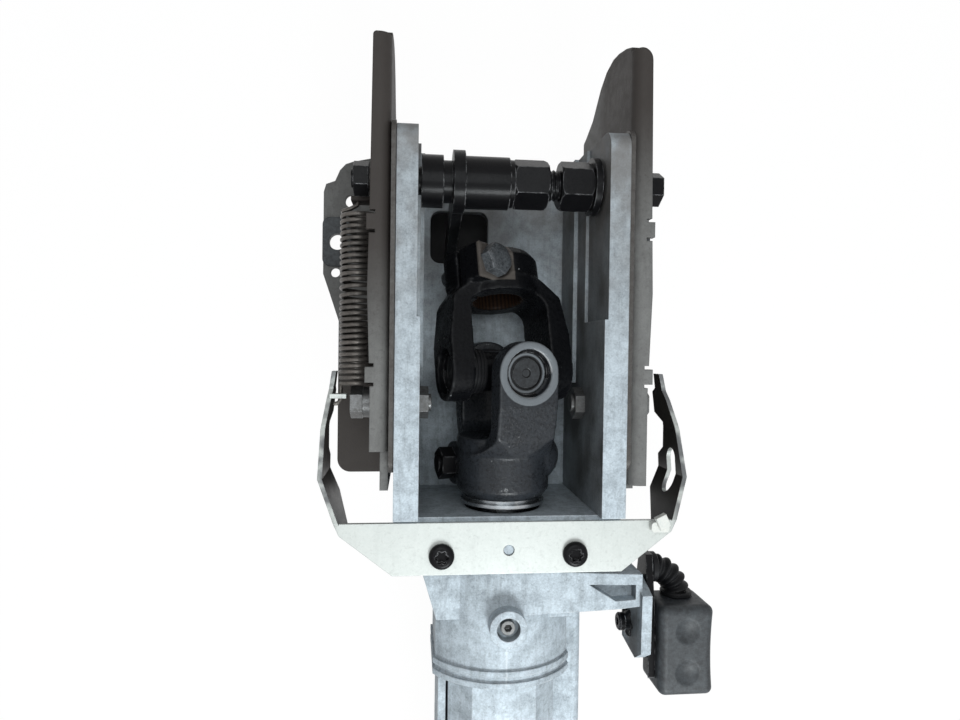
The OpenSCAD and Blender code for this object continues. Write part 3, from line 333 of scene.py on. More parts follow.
def local_place(tree, matrix=Matrix.Identity(4)):
    """Object coordinates in another frame, split into x, y and z."""
    spot, turn, _ = matrix.decompose()
    local = shader(
        tree, "Mapping", {"Vector": object_place(tree), "Location": spot, "Rotation": turn.to_euler()},
        vector_type="TEXTURE")
    return shader(tree, "SeparateXYZ", {0: local.outputs[0]}).outputs


def facing(tree, axis):
    """How far the surface faces along an axis."""
    normal = shader(tree, "NewGeometry").outputs["Normal"]
    return shader(tree, "SeparateXYZ", {0: normal}).outputs[axis]


def size_of(tree, value):
    """The value without its sign."""
    return math_node(tree, "ABSOLUTE", value)


def distance(tree, a, b):
    """Length of a two-dimensional vector."""
    return math_node(tree, "SQRT", math_node(tree, "ADD", times(tree, a, a), times(tree, b, b)))


def within(tree, value, low, high, soft):
    """1 between low and high, with soft ends."""
    return times(tree, ramp(tree, value, low, low + soft), ramp(tree, value, high, high - soft))


class Finish:
    """A material in the making: its tree, shader and the shared groups placed in it."""

    def __init__(self, name):
        self.material = bpy.data.materials.new(FINISH + name)
        self.material.use_nodes = True
        self.tree = self.material.node_tree
        self.bsdf = self.tree.nodes["Principled BSDF"]

    def group(self, name, **values):
        """Places a shared group; grain_scale stands for its input "Grain scale"."""
        made = shader(self.tree, "Group", node_tree=bpy.data.node_groups[name])
        for key, value in values.items():
            made.inputs[key.replace("_", " ").capitalize()].default_value = value
        return made.outputs

    def set(self, **values):
        """Sets the shader's inputs; base_color stands for "Base Color"."""
        for key, value in values.items():
            put(self.tree, self.bsdf.inputs[key.replace("_", " ").title().replace("Ior", "IOR")], value)


def metal(name, base, shade, *, rough, metallic, grain, bump, edge, worn_and_highlight=None, grime_and_shade=0.0, marks=(),
          sheen=0.5, drag=None, coat=0.0):
    """A finish with grain, bloom, bright edges for wear and painted highlight, and corner darkening for
    soiling and painted shade.

    The pairs are: rough of the base and of the shade, grain's scale and bloom's scale, edge radius
    and gain, drag's streaks and pits.
    """
    colours = bpy.context.scene.column_colours
    made = Finish(name)
    tree = made.tree
    tone = made.group("surface_grain", grain_scale=grain[0], bloom_scale=grain[1])
    rim = made.group("edge_wear", radius=edge[0], gain=edge[1])
    skin = blend_colour(tree, tone["Tone"], shade, base)
    if drag:
        lines = made.group("drag_marks")
        both = math_node(tree, "ADD", times(tree, lines["Streak"], drag[0]),
                         times(tree, lines["Pits"], drag[1]), clamp=True)
        skin = blend_colour(tree, both, skin, colours.dirt_and_shade)
    # Bright edges stand for rubbed wear and also paint highlights along edges.
    if worn_and_highlight is not None:
        skin = blend_colour(tree, rim["Mask"], skin, worn_and_highlight)
    # Corner darkening from ambient occlusion: soiling, and painted shade in corners and crevices.
    if grime_and_shade:
        corners = made.group("corner_grime")["Mask"]
        skin = blend_colour(tree, times(tree, corners, grime_and_shade), skin, colours.dirt_and_shade)
    for mark in marks:
        mask, tint = mark(tree, colours)
        skin = blend_colour(tree, mask, skin, tint)
    height = shader(tree, "Bump", {"Height": tone["Height"], "Normal": rim["Normal"],
                                   "Strength": bump, "Distance": BUMP_DEPTH})
    made.set(base_color=skin, roughness=spread(tree, tone["Tone"], rough[1], rough[0]),
             normal=height.outputs["Normal"], metallic=metallic, specular_ior_level=sheen,
             coat_weight=coat, coat_roughness=COAT_ROUGHNESS)


def noise(tree, scale, low, high):
    """A mask of patches, as many to the metre as the scale says."""
    return ramp(tree, noise_value(tree, object_place(tree), scale, 3.0), low, high)


# Where the marks lie, in metres. These pairs run from no mark to the full mark
ARM_FILM_AND_SHADE_HEIGHT = (0.030, 0.045)
ARM_FILM_AND_SHADE_REACH = (0.0, 0.075)
CAST_FILM_AND_SHADE_REACH = (-0.05, 0.10)
FOOT_HEIGHT = (0.045, 0.030)
FOOT_REACH = (0.0, -0.025)
APRON_HEIGHT = (0.019, 0.0165)
APRON_WIDTH = (0.040, 0.036)
WING_START = (0.060, 0.066)
WING_EDGE_START = (0.070, 0.076)
EAR_FACE_HEIGHT = (0.0276, 0.0281)
EAR_BORE_HEIGHT = (0.0268, 0.0276)
CUP_HEIGHT = (0.022, 0.023)
BORE_RADIUS = (0.0125, 0.0116)
BORE_START = (0.0320, 0.0335)
LUG_HEIGHT = (0.0118, 0.0126)
# These are spans that are marked between their ends, and the widths of their soft ends
SEAM_WIDTH = (-0.0003, 0.0007)
SEAM_WIDTH_SOFT = 0.0002
SEAM_LENGTH = (-0.152, -0.130)
SEAM_LENGTH_SOFT = 0.002
EAR_FACE = (0.0098, 0.0137)
EAR_BORE = (0.0094, 0.0105)
EAR_SOFT = 0.0003
CUP_GROOVES = ((0.0064, 0.0073), (0.0015, 0.0021))
CUP_GROOVE_SOFT = 0.0002
CUP_LIP = (0.0074, 0.0086)
CUP_LIP_SOFT = 0.0003
LUG_SIDES = (-0.0088, 0.0088)
LUG_SOFT = 0.0006
# Numbers without a unit
ARM_SHADE_SLANT = 0.5
SEAM_STRENGTH = 0.35
SERRATIONS = 36.0


def outward(tree, across):
    """Above 0 on faces that look away from the column's middle, below 0 on those towards it."""
    return times(tree, math_node(tree, "SIGN", across), facing(tree, "X"))


def arm_top_shade(tree, colours):
    """Brown film and painted shade on the arms' upper ends; the painted shade reaches further down on the
    left, away from the light, than on the right.
    """
    spot = local_place(tree)
    along = math_node(tree, "SUBTRACT", spot["Y"], times(tree, spot["X"], ARM_SHADE_SLANT))
    above = ramp(tree, spot["Z"], *ARM_FILM_AND_SHADE_HEIGHT)
    return times(tree, above, ramp(tree, along, *ARM_FILM_AND_SHADE_REACH)), colours.arm_brown_and_shade


def channel_shade(tree, colours):
    """Painted shade, in patches, on the inner faces of the housing's side walls."""
    inner = ramp(tree, outward(tree, local_place(tree)["X"]), -0.5, -0.8)
    patches = spread(tree, noise(tree, 45.0, 0.35, 0.65), 0.5, 0.9)
    return times(tree, inner, patches), colours.dirt_and_shade


def upper_film_and_shade(tree, colours):
    """Brown film and painted shade, thickening towards the casting's upper end, where less light falls."""
    along = ramp(tree, local_place(tree)["Y"], *CAST_FILM_AND_SHADE_REACH)
    patches = spread(tree, noise(tree, 60.0, 0.35, 0.65), 0.35, 0.9)
    return times(tree, along, patches), colours.casting_film_and_shade


def mould_seam(tree, colours):
    """Thin bright seam of the mould along the top of the barrel."""
    spot = local_place(tree)
    line = within(tree, spot["X"], *SEAM_WIDTH, SEAM_WIDTH_SOFT)
    along = within(tree, spot["Y"], *SEAM_LENGTH, SEAM_LENGTH_SOFT)
    return times(tree, line, along, SEAM_STRENGTH), colours.casting_edge


def flange_foot(tree, colours):
    """The lower ends of the flanges are dark."""
    spot = local_place(tree)
    low = ramp(tree, spot["Z"], *FOOT_HEIGHT)
    return times(tree, low, ramp(tree, spot["Y"], *FOOT_REACH)), colours.arm_brown_and_shade


def apron_shade(tree, colours):
    """Painted shade on the sheet below the window in the housing's floor."""
    spot = local_place(tree)
    inside = ramp(tree, size_of(tree, spot["X"]), *APRON_WIDTH)
    return times(tree, ramp(tree, spot["Z"], *APRON_HEIGHT), inside), colours.rubber_and_shade


def wing_shade(tree, colours):
    """Painted shade on the inner faces of the guard plate's wings."""
    across = local_place(tree)["X"]
    outer = ramp(tree, size_of(tree, across), *WING_START)
    return times(tree, outer, ramp(tree, outward(tree, across), -0.35, -0.75)), colours.dirt_and_shade


def wing_edge(tree, colours):
    """Cut edges of the wings, where the zinc is thin."""
    outer = ramp(tree, size_of(tree, local_place(tree)["X"]), *WING_EDGE_START)
    upward = ramp(tree, facing(tree, "Z"), 0.4, 0.7)
    return times(tree, outer, upward, noise(tree, 90.0, 0.62, 0.42)), colours.fastener


def ear_ring(tree, colours):
    """Machined faces of the lower yoke's ears."""
    spot = local_place(tree, JOINT)
    face = within(tree, distance(tree, spot["X"], spot["Y"]), *EAR_FACE, EAR_SOFT)
    return times(tree, face, ramp(tree, size_of(tree, spot["Z"]), *EAR_FACE_HEIGHT)), colours.machined


def ear_rim_wear_and_highlight(tree, colours):
    """Bright rim round the bores of the ears, broken by noise: wear and painted highlight."""
    spot = local_place(tree, JOINT)
    rim = within(tree, distance(tree, spot["X"], spot["Y"]), *EAR_BORE, EAR_SOFT)
    out = ramp(tree, size_of(tree, spot["Z"]), *EAR_BORE_HEIGHT)
    return times(tree, rim, noise(tree, 110.0, 0.40, 0.55), out), colours.bright_steel


def cup_groove(tree, colours):
    """Dark groove in the faces of the lower cups, and the small ring at their centre."""
    spot = local_place(tree, JOINT)
    out = distance(tree, spot["X"], spot["Y"])
    rings = math_node(tree, "ADD", *(within(tree, out, *span, CUP_GROOVE_SOFT) for span in CUP_GROOVES))
    return times(tree, rings, ramp(tree, size_of(tree, spot["Z"]), *CUP_HEIGHT)), colours.forging


def cup_lip(tree, colours):
    """Rubbed lip round the faces of the lower cups."""
    spot = local_place(tree, JOINT)
    lip = within(tree, distance(tree, spot["X"], spot["Y"]), *CUP_LIP, CUP_LIP_SOFT)
    return times(tree, lip, ramp(tree, size_of(tree, spot["Z"]), *CUP_HEIGHT)), colours.machined


def paint_chips(tree, colours):
    """Small chips in the black paint."""
    return noise(tree, 290.0, 0.725, 0.745), colours.fastener


def rusty_bore(tree, colours):
    """Brown film on the serrated bore of the upper yoke."""
    spot = local_place(tree, DROOP)
    inside = ramp(tree, distance(tree, spot["X"], spot["Z"]), *BORE_RADIUS)
    angle = math_node(tree, "ARCTAN2", spot["X"], spot["Z"])
    wave = math_node(tree, "SINE", times(tree, angle, SERRATIONS))
    teeth = shader(tree, "MapRange", {"Value": wave, "From Min": -1.0, "To Min": 0.35}).outputs["Result"]
    return times(tree, inside, ramp(tree, spot["Y"], *BORE_START), teeth), colours.rust


def bare_lug(tree, colours):
    """Bare face of the clamp lug below the pinch bolt."""
    spot = local_place(tree, PINCH)
    across, along = (within(tree, spot[axis], *LUG_SIDES, LUG_SOFT) for axis in "XY")
    return times(tree, across, along, ramp(tree, spot["Z"], *LUG_HEIGHT)), colours.bare_forging


def build_finishes():
    """Makes every finish once: the record's slots, and the variants that some pieces wear."""
    grain_group()
    edge_group()
    grime_and_shade_group()
    drag_group()
    c = bpy.context.scene.column_colours
    metal("cast_aluminium", c.casting, c.casting_dark, rough=(0.5, 0.68), metallic=0.1,
          grain=(1300.0, 26.0), bump=0.3, edge=(0.0008, 3.5), worn_and_highlight=c.casting_edge, grime_and_shade=0.25,
          marks=(channel_shade, upper_film_and_shade, mould_seam), sheen=0.25, drag=(0.22, 0.2))
    metal("arm_steel", c.arm, c.arm_dark, rough=(0.46, 0.66), metallic=0.0,
          grain=(1800.0, 30.0), bump=0.35, edge=(0.0009, 2.5), worn_and_highlight=c.fastener, grime_and_shade=0.5,
          marks=(arm_top_shade, flange_foot, apron_shade), sheen=0.2, drag=(0.18, 0.25))
    metal("zinc_plate", c.zinc, c.zinc_dark, rough=(0.34, 0.46), metallic=0.4,
          grain=(900.0, 22.0), bump=0.05, edge=(0.0005, 4.0), worn_and_highlight=c.bright_steel, grime_and_shade=0.4,
          marks=(wing_edge, wing_shade), sheen=0.25, drag=(0.05, 0.12))
    forging = dict(rough=(0.22, 0.36), metallic=0.0, grain=(700.0, 90.0), bump=0.8, edge=(0.0009, 3.0),
                   worn_and_highlight=c.worn_and_highlight)
    metal("black_forging", c.forging, c.forging_dust, sheen=0.05, coat=0.06, **forging)
    metal("upper_forging", c.forging, c.forging_dust, sheen=0.05, coat=0.06,
          marks=(paint_chips, rusty_bore, bare_lug), **forging)
    metal("lower_forging", c.lower_paint_and_light, c.lower_dust_and_light, sheen=0.18, coat=0.12,
          marks=(paint_chips, ear_ring, ear_rim_wear_and_highlight), **forging)
    # On the black steel the bright edges are mostly painted highlight.
    metal("black_steel", c.black_steel, c.forging, rough=(0.24, 0.38), metallic=0.05,
          grain=(1500.0, 120.0), bump=0.1, edge=(0.0007, 5.0), worn_and_highlight=c.worn_and_highlight, sheen=0.07, coat=0.04)
    metal("bolt_steel", c.machined, c.black_steel, rough=(0.3, 0.45), metallic=0.2,
          grain=(1500.0, 120.0), bump=0.1, edge=(0.0006, 4.0), worn_and_highlight=c.worn_and_highlight, sheen=0.3)
    metal("cup_steel", c.cup, c.black_steel, rough=(0.3, 0.42), metallic=0.3,
          grain=(1500.0, 80.0), bump=0.06, edge=(0.0005, 4.0), worn_and_highlight=c.fastener, grime_and_shade=0.3,
          marks=(cup_groove, cup_lip), sheen=0.3)
    metal("dull_steel", c.dull_steel, c.arm_brown_and_shade, rough=(0.4, 0.55), metallic=0.3,
          grain=(1500.0, 60.0), bump=0.08, edge=(0.0004, 3.0), worn_and_highlight=c.fastener, grime_and_shade=0.5, sheen=0.3)
    metal("bright_steel", c.bright_steel, c.casting_dark, rough=(0.22, 0.36), metallic=0.95,
          grain=(1500.0, 60.0), bump=0.04, edge=(0.0004, 3.0), grime_and_shade=0.5)
    metal("fastener_steel", c.fastener, c.dull_steel, rough=(0.32, 0.48), metallic=0.6,
          grain=(1500.0, 80.0), bump=0.08, edge=(0.0004, 4.0), worn_and_highlight=c.bright_steel, grime_and_shade=0.6, sheen=0.3)
    metal("spring_wire", c.wire, c.dirt_and_shade, rough=(0.32, 0.46), metallic=0.5,
          grain=(1500.0, 60.0), bump=0.06, edge=(0.0003, 3.0), grime_and_shade=0.4, sheen=0.3)
    metal("black_plastic", c.plastic, c.forging_dust, rough=(0.48, 0.6), metallic=0.0,
          grain=(2600.0, 60.0), bump=0.12, edge=(0.0006, 2.0), sheen=0.4)
    metal("black_rubber", c.rubber_and_shade, c.forging_dust, rough=(0.42, 0.55), metallic=0.0,
          grain=(2000.0, 80.0), bump=0.1, edge=(0.0004, 2.0), sheen=0.15)
    metal("white_plastic", c.nylon, c.zinc, rough=(0.38, 0.5), metallic=0.0,
          grain=(1200.0, 50.0), bump=0.04, edge=(0.0005, 2.0), grime_and_shade=0.3, sheen=0.4)


# Mesh helpers

MERGE = 1e-7
SOLID_MERGE = 1e-6
TINY = 1e-9


def finish_piece(name, mesh, slot, body, replaced=(), modifiers=(), finish=None):
    """Links a piece, gives it its finish and sets it on its body, if one carries it."""
    made = bpy.data.objects.new(name, mesh)
    bpy.context.scene.collection.objects.link(made)
    mesh.materials.clear()
    mesh.materials.append(bpy.data.materials[FINISH + (finish or slot)])
    for kind, settings in modifiers:
        added = made.modifiers.new(kind.lower(), kind)
        for key, value in settings.items():
            setattr(added, key, value)
    if body:
        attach(made, body)
    if replaced:
        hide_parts(*replaced)
    return made


def closed_mesh(name, shapes, smooth_angle=40.0):
    """One mesh from several closed shapes, with outward normals and sharp edges kept sharp."""
    mesh = bpy.data.meshes.new(name)
    whole = bmesh.new()
    for shape in shapes:
        bmesh.ops.remove_doubles(shape, verts=shape.verts, dist=MERGE)
        bmesh.ops.recalc_face_normals(shape, faces=shape.faces)
        part = bpy.data.meshes.new("part")
        shape.to_mesh(part)
        shape.free()
        whole.from_mesh(part)
        bpy.data.meshes.remove(part)
    limit = math.radians(smooth_angle)
    for face in whole.faces:
        face.smooth = True
    for edge in whole.edges:
        edge.smooth = len(edge.link_faces) == 2 and edge.calc_face_angle(0.0) < limit
    whole.to_mesh(mesh)
    whole.free()
    return mesh


def lathe(profile, place, segments=48):
    """Spins a profile of (radius, height) in millimetres about the Z axis of a frame."""
    bm = bmesh.new()
    points = [bm.verts.new((r * MM, 0.0, h * MM)) for r, h in profile]
    edges = [bm.edges.new(pair) for pair in zip(points, points[1:])]
    bmesh.ops.spin(bm, geom=points + edges, cent=(0.0, 0.0, 0.0), axis=(0.0, 0.0, 1.0),
                   angle=TURN, steps=segments, use_merge=True)
    bmesh.ops.remove_doubles(bm, verts=bm.verts, dist=MERGE)
    bmesh.ops.transform(bm, matrix=place, verts=bm.verts)
    return bm


def skin_rings(rings, place=Matrix.Identity(4)):
    """Joins closed rings of points in millimetres with quads, and closes both ends."""
    bm = bmesh.new()
    rows = [[bm.verts.new(place @ (Vector(p) * MM)) for p in ring] for ring in rings]
    count = len(rows[0])
    for low, high in zip(rows, rows[1:]):
        for k in range(count):
            n = (k + 1) % count
            bm.faces.new((low[k], low[n], high[n], high[k]))
    bm.faces.new(rows[0][::-1])
    bm.faces.new(rows[-1])
    return bm


def swept(path, radius_at, sides):
    """A round bar along a path in millimetres; radius_at takes the share of the path."""
    points = [Vector(p) for p in path]
    last = len(points) - 1
    angles = [TURN * k / sides for k in range(sides)]
    rings = []
    normal = None
    for i, point in enumerate(points):
        along = (points[min(i + 1, last)] - points[max(i - 1, 0)]).normalized()
        normal = along.orthogonal() if normal is None else normal - along * normal.dot(along)
        normal.normalize()
        other = along.cross(normal)
        r = radius_at(i / last)
        rings.append([point + r * (math.cos(a) * normal + math.sin(a) * other) for a in angles])
    return skin_rings(rings)


def lobed_ring(radius, height, swell, count, lobes=6):
    """A ring of points in millimetres whose radius swells at each lobe."""
    ring = []
    for k in range(count):
        angle = TURN * k / count
        r = radius + swell * math.cos(lobes * angle)
        ring.append((r * math.cos(angle), r * math.sin(angle), height))
    return ring


def hex_prism(across, height, place, turn=0.0, steps=10):
    """A hexagon with the curved chamfer of a bolt head on top."""
    flat = across / 2.0
    crown = 0.94 * flat
    dish = (0.5 * crown, 0.1)
    drop = math.tan(math.radians(30.0))
    sixth = TURN / 6
    angles = [sixth * k / steps for k in range(6 * steps)]
    reach = [flat / math.cos((a + sixth / 2) % sixth - sixth / 2) for a in angles]

    def ring(radii, heights):
        return [(r * math.cos(a + turn), r * math.sin(a + turn), h)
                for a, r, h in zip(angles, radii, heights)]

    count = len(angles)
    return skin_rings([
        ring(reach, [0.0] * count),
        ring(reach, [height - (r - crown) * drop for r in reach]),
        ring([crown] * count, [height] * count),
        ring([dish[0]] * count, [height - dish[1]] * count)], place)


def thread(radius, pitch, low, high, place, sides=36, steps=8):
    """A screw thread about the Z axis of a frame, in millimetres."""
    depth = 0.54 * pitch
    flank, flat = 1.35, 0.18
    count = max(2, int((high - low) / pitch * steps))
    rings = []
    for i in range(count + 1):
        at = low + (high - low) * i / count
        ring = []
        for k in range(sides):
            phase = (at / pitch - k / sides) % 1.0
            r = radius - depth * min(1.0, max(0.0, flank * abs(2.0 * phase - 1.0) - flat))
            ring.append((r * math.cos(TURN * k / sides), r * math.sin(TURN * k / sides), at))
        rings.append(ring)
    return skin_rings(rings, place)


def merged_copy(node):
    """A copy of a CAD node's mesh with its loose triangles joined."""
    mesh = NODES[node].data.copy()
    bm = bmesh.new()
    bm.from_mesh(mesh)
    bmesh.ops.remove_doubles(bm, verts=bm.verts, dist=SOLID_MERGE)
    bmesh.ops.recalc_face_normals(bm, faces=bm.faces)
    for face in bm.faces:
        face.smooth = True
    bm.to_mesh(mesh)
    bm.free()
    return mesh


class COLUMN_OT_finishes(bpy.types.Operator):
    """Give every solid of the frame its finish"""
    bl_idname = "column.finishes"
    bl_label = "Finishes"

    def execute(self, context):
        build_finishes()
        for part in frame["record"]["subparts"]:
            data = NODES[part["node"]].data
            data.materials.clear()
            finish = VARIANTS.get(part["node"], part["material_slot"])
            data.materials.append(bpy.data.materials[FINISH + finish])
        return {"FINISHED"}


class COLUMN_OT_forgings(bpy.types.Operator):
    """Round the forged yokes of the universal joint"""
    bl_idname = "column.forgings"
    bl_label = "Forged yokes"

    def execute(self, context):
        sizes = context.scene.column_sizes
        for node, body, finish in (("upper_yoke", "upper_yoke", "upper_forging"),
                                   ("lower_yoke", "lower_shaft", "lower_forging")):
            finish_piece(
                "forged_" + node, merged_copy(node), "black_forging", body, (node,),
                (("REMESH", {"mode": "VOXEL", "voxel_size": sizes.forging_voxel, "use_smooth_shade": True}),
                 ("SMOOTH", {"factor": 0.5, "iterations": sizes.forging_rounds})), finish)
        return {"FINISHED"}


class COLUMN_OT_seals(bpy.types.Operator):
    """Fit ribbed seals on the trunnions of the joint cross"""
    bl_idname = "column.seals"
    bl_label = "Joint seals"

    # Radius and distance from the cross's middle
    profile = ((9.05, 11.4), (9.7, 11.5), (9.7, 12.4), (9.3, 12.8), (9.9, 13.2), (9.9, 14.0), (9.4, 14.4),
               (10.0, 14.8), (10.0, 15.8), (9.5, 16.2), (9.5, 17.1), (9.05, 17.2), (9.05, 11.4))

    def execute(self, context):
        shapes = [lathe(self.profile, JOINT @ turned(angle, "Y")) for angle in (0, 90, 180, 270)]
        finish_piece("joint_seals", closed_mesh("joint_seals", shapes), "black_plastic", "joint_cross",
                     finish="black_rubber")
        return {"FINISHED"}


class COLUMN_OT_bolts(bpy.types.Operator):
    """Make the chamfered bolts and the screws with a star recess"""
    bl_idname = "column.bolts"
    bl_label = "Bolts and screws"

    head_across = 13
    head_height = 5.27
    head_start = 13.53
    head_turn = math.radians(20)
    shank = ((0, -16.5), (3.4, -16.5), (4, -15.9), (4, 13.6), (0, 13.6))
    screw_spots = ((-28.5, -93, 88), (28.5, -93, 88))
    # Radius, height and swell of the lobes, from the shank's end to the floor of the recess
    screw_rings = ((2.5, -16, 0), (2.5, 0.03, 0), (5.3, 0.03, 0), (5.4, 0.5, 0), (5.1, 1.9, 0), (4.5, 2.5, 0),
                   (3.5, 2.6, 0), (2.65, 2.6, 0.42), (2.5, 2.4, 0.42), (2.4, 0.9, 0.42))
    screw_points = 48

    def execute(self, context):
        seat = PINCH @ moved(0, 0, self.head_start)
        head = hex_prism(self.head_across, self.head_height, seat, self.head_turn)
        shapes = [head, lathe(self.shank, PINCH)]
        finish_piece("upper_pinch_bolt_dressed", closed_mesh("upper_pinch_bolt_dressed", shapes),
                     "black_steel", "upper_yoke", ("upper_pinch_bolt",), finish="bolt_steel")
        rings = [lobed_ring(*ring, self.screw_points) for ring in self.screw_rings]
        screws = [skin_rings(rings, moved(*spot)) for spot in self.screw_spots]
        finish_piece("guard_screws_dressed", closed_mesh("guard_screws_dressed", screws),
                     "black_steel", "housing", ("guard_screws",))
        return {"FINISHED"}


class COLUMN_OT_lever_pin(bpy.types.Operator):
    """Hold the release lever's pin with a pronged lock washer"""
    bl_idname = "column.lever_pin"
    bl_label = "Lever pin"

    pin = ((0, 55.4), (1.8, 55.4), (1.8, 54), (3.4, 54), (4, 54.6), (4, 66.8), (0, 66.8))
    # Radius, height and swell of the prongs
    washer_rings = ((6.0, 58.97, 0.9), (6.0, 58.3, 0.9), (5.2, 57.3, 0.5), (4.1, 56.9, 0))
    washer_points = 72

    def execute(self, context):
        place = moved(0, -131, 68) @ turned(90, "Y")
        washer = skin_rings([lobed_ring(*ring, self.washer_points) for ring in self.washer_rings], place)
        shapes = [lathe(self.pin, place), washer]
        finish_piece("lever_pin_dressed", closed_mesh("lever_pin_dressed", shapes), "black_steel",
                     "housing", ("lever_pin",))
        return {"FINISHED"}


class COLUMN_OT_stud_thread(bpy.types.Operator):
    """Cut the thread that shows between the nuts of the clamp stud"""
    bl_idname = "column.stud_thread"
    bl_label = "Stud thread"

    radius = 6.75
    ends = (16.2, 21.4)

    def execute(self, context):
        pitch = context.scene.column_sizes.thread_pitch / MM
        shapes = [thread(self.radius, pitch, *self.ends, CLAMP @ turned(90, "Y"))]
        finish_piece("stud_thread", closed_mesh("stud_thread", shapes, 60.0), "black_steel", "housing")
        return {"FINISHED"}


class COLUMN_OT_spring(bpy.types.Operator):
    """Wind the balance spring from round wire"""
    bl_idname = "column.spring"
    bl_label = "Balance spring"

    centre = (-66.6, 60.0)
    ends = (-22.5, 55.0)
    radius = 7.0
    wire = 1.0
    coils = 29
    steps = 28
    # Two turns near the middle stand apart; both values are shares of the length
    gap = 0.028
    gap_place = (0.505, 0.575)
    # Across and along from each end of the coils
    low_hook = ((-10, -9), (-8.5, -9), (-7, -7.5), (-7, -4))
    high_hook = ((-3.2, 1.4), (-0.4, 3), (0, 5.5), (0, 8), (1.2, 9), (5, 9))

    def execute(self, context):
        x, z = self.centre
        low, high = self.ends
        r = self.radius
        gap_low, gap_high = self.gap_place
        path = [(x + across, low + along, z) for across, along in self.low_hook]
        for i in range(self.coils * self.steps + 1):
            angle = TURN * i / self.steps
            share = i / self.steps / self.coils
            opened = min(1.0, max(0.0, (share - gap_low) / (gap_high - gap_low)))
            along = low + (high - low) * (share * (1.0 - self.gap) + opened * self.gap)
            path.append((x - r * math.cos(angle), along, z + r * math.sin(angle)))
        path += [(x + across, high + along, z) for across, along in self.high_hook]
        shapes = [swept(path, lambda t: self.wire, context.scene.column_sizes.wire_sides)]
        made = finish_piece("wound_spring", closed_mesh("wound_spring", shapes, 60.0), "spring_wire", None,
                            ("balance_spring",))
        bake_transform(made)
        return {"FINISHED"}


class COLUMN_OT_grip(bpy.types.Operator):
    """Mould the release grip with its two thumb dimples"""
    bl_idname = "column.grip"
    bl_label = "Release grip"

    low = (67.0, -157.0, 64.0)
    high = (92.0, -117.5, 88.0)
    cuts = 71
    dimples = (-128.2, -146.3)
    dimple_reach = 5.6
    waist = 1.1

    def rounded(self, spot, half, radius):
        """Moves a point of the box onto the box with rounded edges."""
        core = Vector(max(radius - h, min(h - radius, s)) for s, h in zip(spot, half))
        out = spot - core
        return core + out.normalized() * radius if out.length > TINY else spot

    def execute(self, context):
        sizes = context.scene.column_sizes
        low, high = Vector(self.low) * MM, Vector(self.high) * MM
        middle, half = (low + high) / 2.0, (high - low) / 2.0
        bm = bmesh.new()
        bmesh.ops.create_cube(bm, size=2.0)
        bmesh.ops.subdivide_edges(bm, edges=bm.edges, cuts=self.cuts, use_grid_fill=True)
        # The dimples are pressed into the top face and not into its rounded edge
        top = half.z - 0.6 * sizes.grip_round
        for vert in bm.verts:
            spot = self.rounded(vert.co * half, half, sizes.grip_round)
            if spot.x > 0.0:
                bend = 1.0 - (spot.y / half.y) ** 2
                spot.x -= self.waist * MM * bend * spot.x / half.x
            if spot.z > top:
                for y in self.dimples:
                    off = math.hypot(spot.x, spot.y + middle.y - y * MM) / (self.dimple_reach * MM)
                    if off < 1.0:
                        spot.z -= sizes.dimple_depth * (1.0 - off * off)
            vert.co = middle + spot
        finish_piece("moulded_grip", closed_mesh("moulded_grip", [bm], 60.0), "black_plastic",
                     "release_lever", ("lever_grip",))
        return {"FINISHED"}


class COLUMN_OT_boot(bpy.types.Operator):
    """Mould the ribbed elbow boot above the grip"""
    bl_idname = "column.boot"
    bl_label = "Lever boot"

    start = (67.03, -117.47, 72.0)
    bend = 13.0
    steps = 72
    sides = 32
    radius = 5.4
    rib = 0.75
    ribs = 6
    # Radius and height of the collars on the grip and on the lever
    grip_collar = ((0, 0.05), (6.6, 0.05), (7.1, 0.5), (7.1, 1.9), (6.6, 2.4), (0, 2.4))
    lever_collar = ((0, 0.05), (6.2, 0.05), (6.7, 0.5), (6.7, 2.5), (6.2, 3.0), (0, 3.0))

    def execute(self, context):
        x, y, z = self.start
        angles = [TURN / 4 * i / self.steps for i in range(self.steps + 1)]
        path = [(x + self.bend * math.cos(a), y + self.bend * math.sin(a), z) for a in angles]
        shapes = [
            swept(path, lambda t: self.radius + self.rib * math.cos(TURN * self.ribs * t), self.sides),
            lathe(self.grip_collar, moved(x + self.bend, y, z) @ turned(-90, "X")),
            lathe(self.lever_collar, moved(x, y + self.bend, z) @ turned(90, "Y"))]
        finish_piece("ribbed_boot", closed_mesh("ribbed_boot", shapes), "black_plastic",
                     "release_lever", ("lever_boot",), finish="black_rubber")
        return {"FINISHED"}


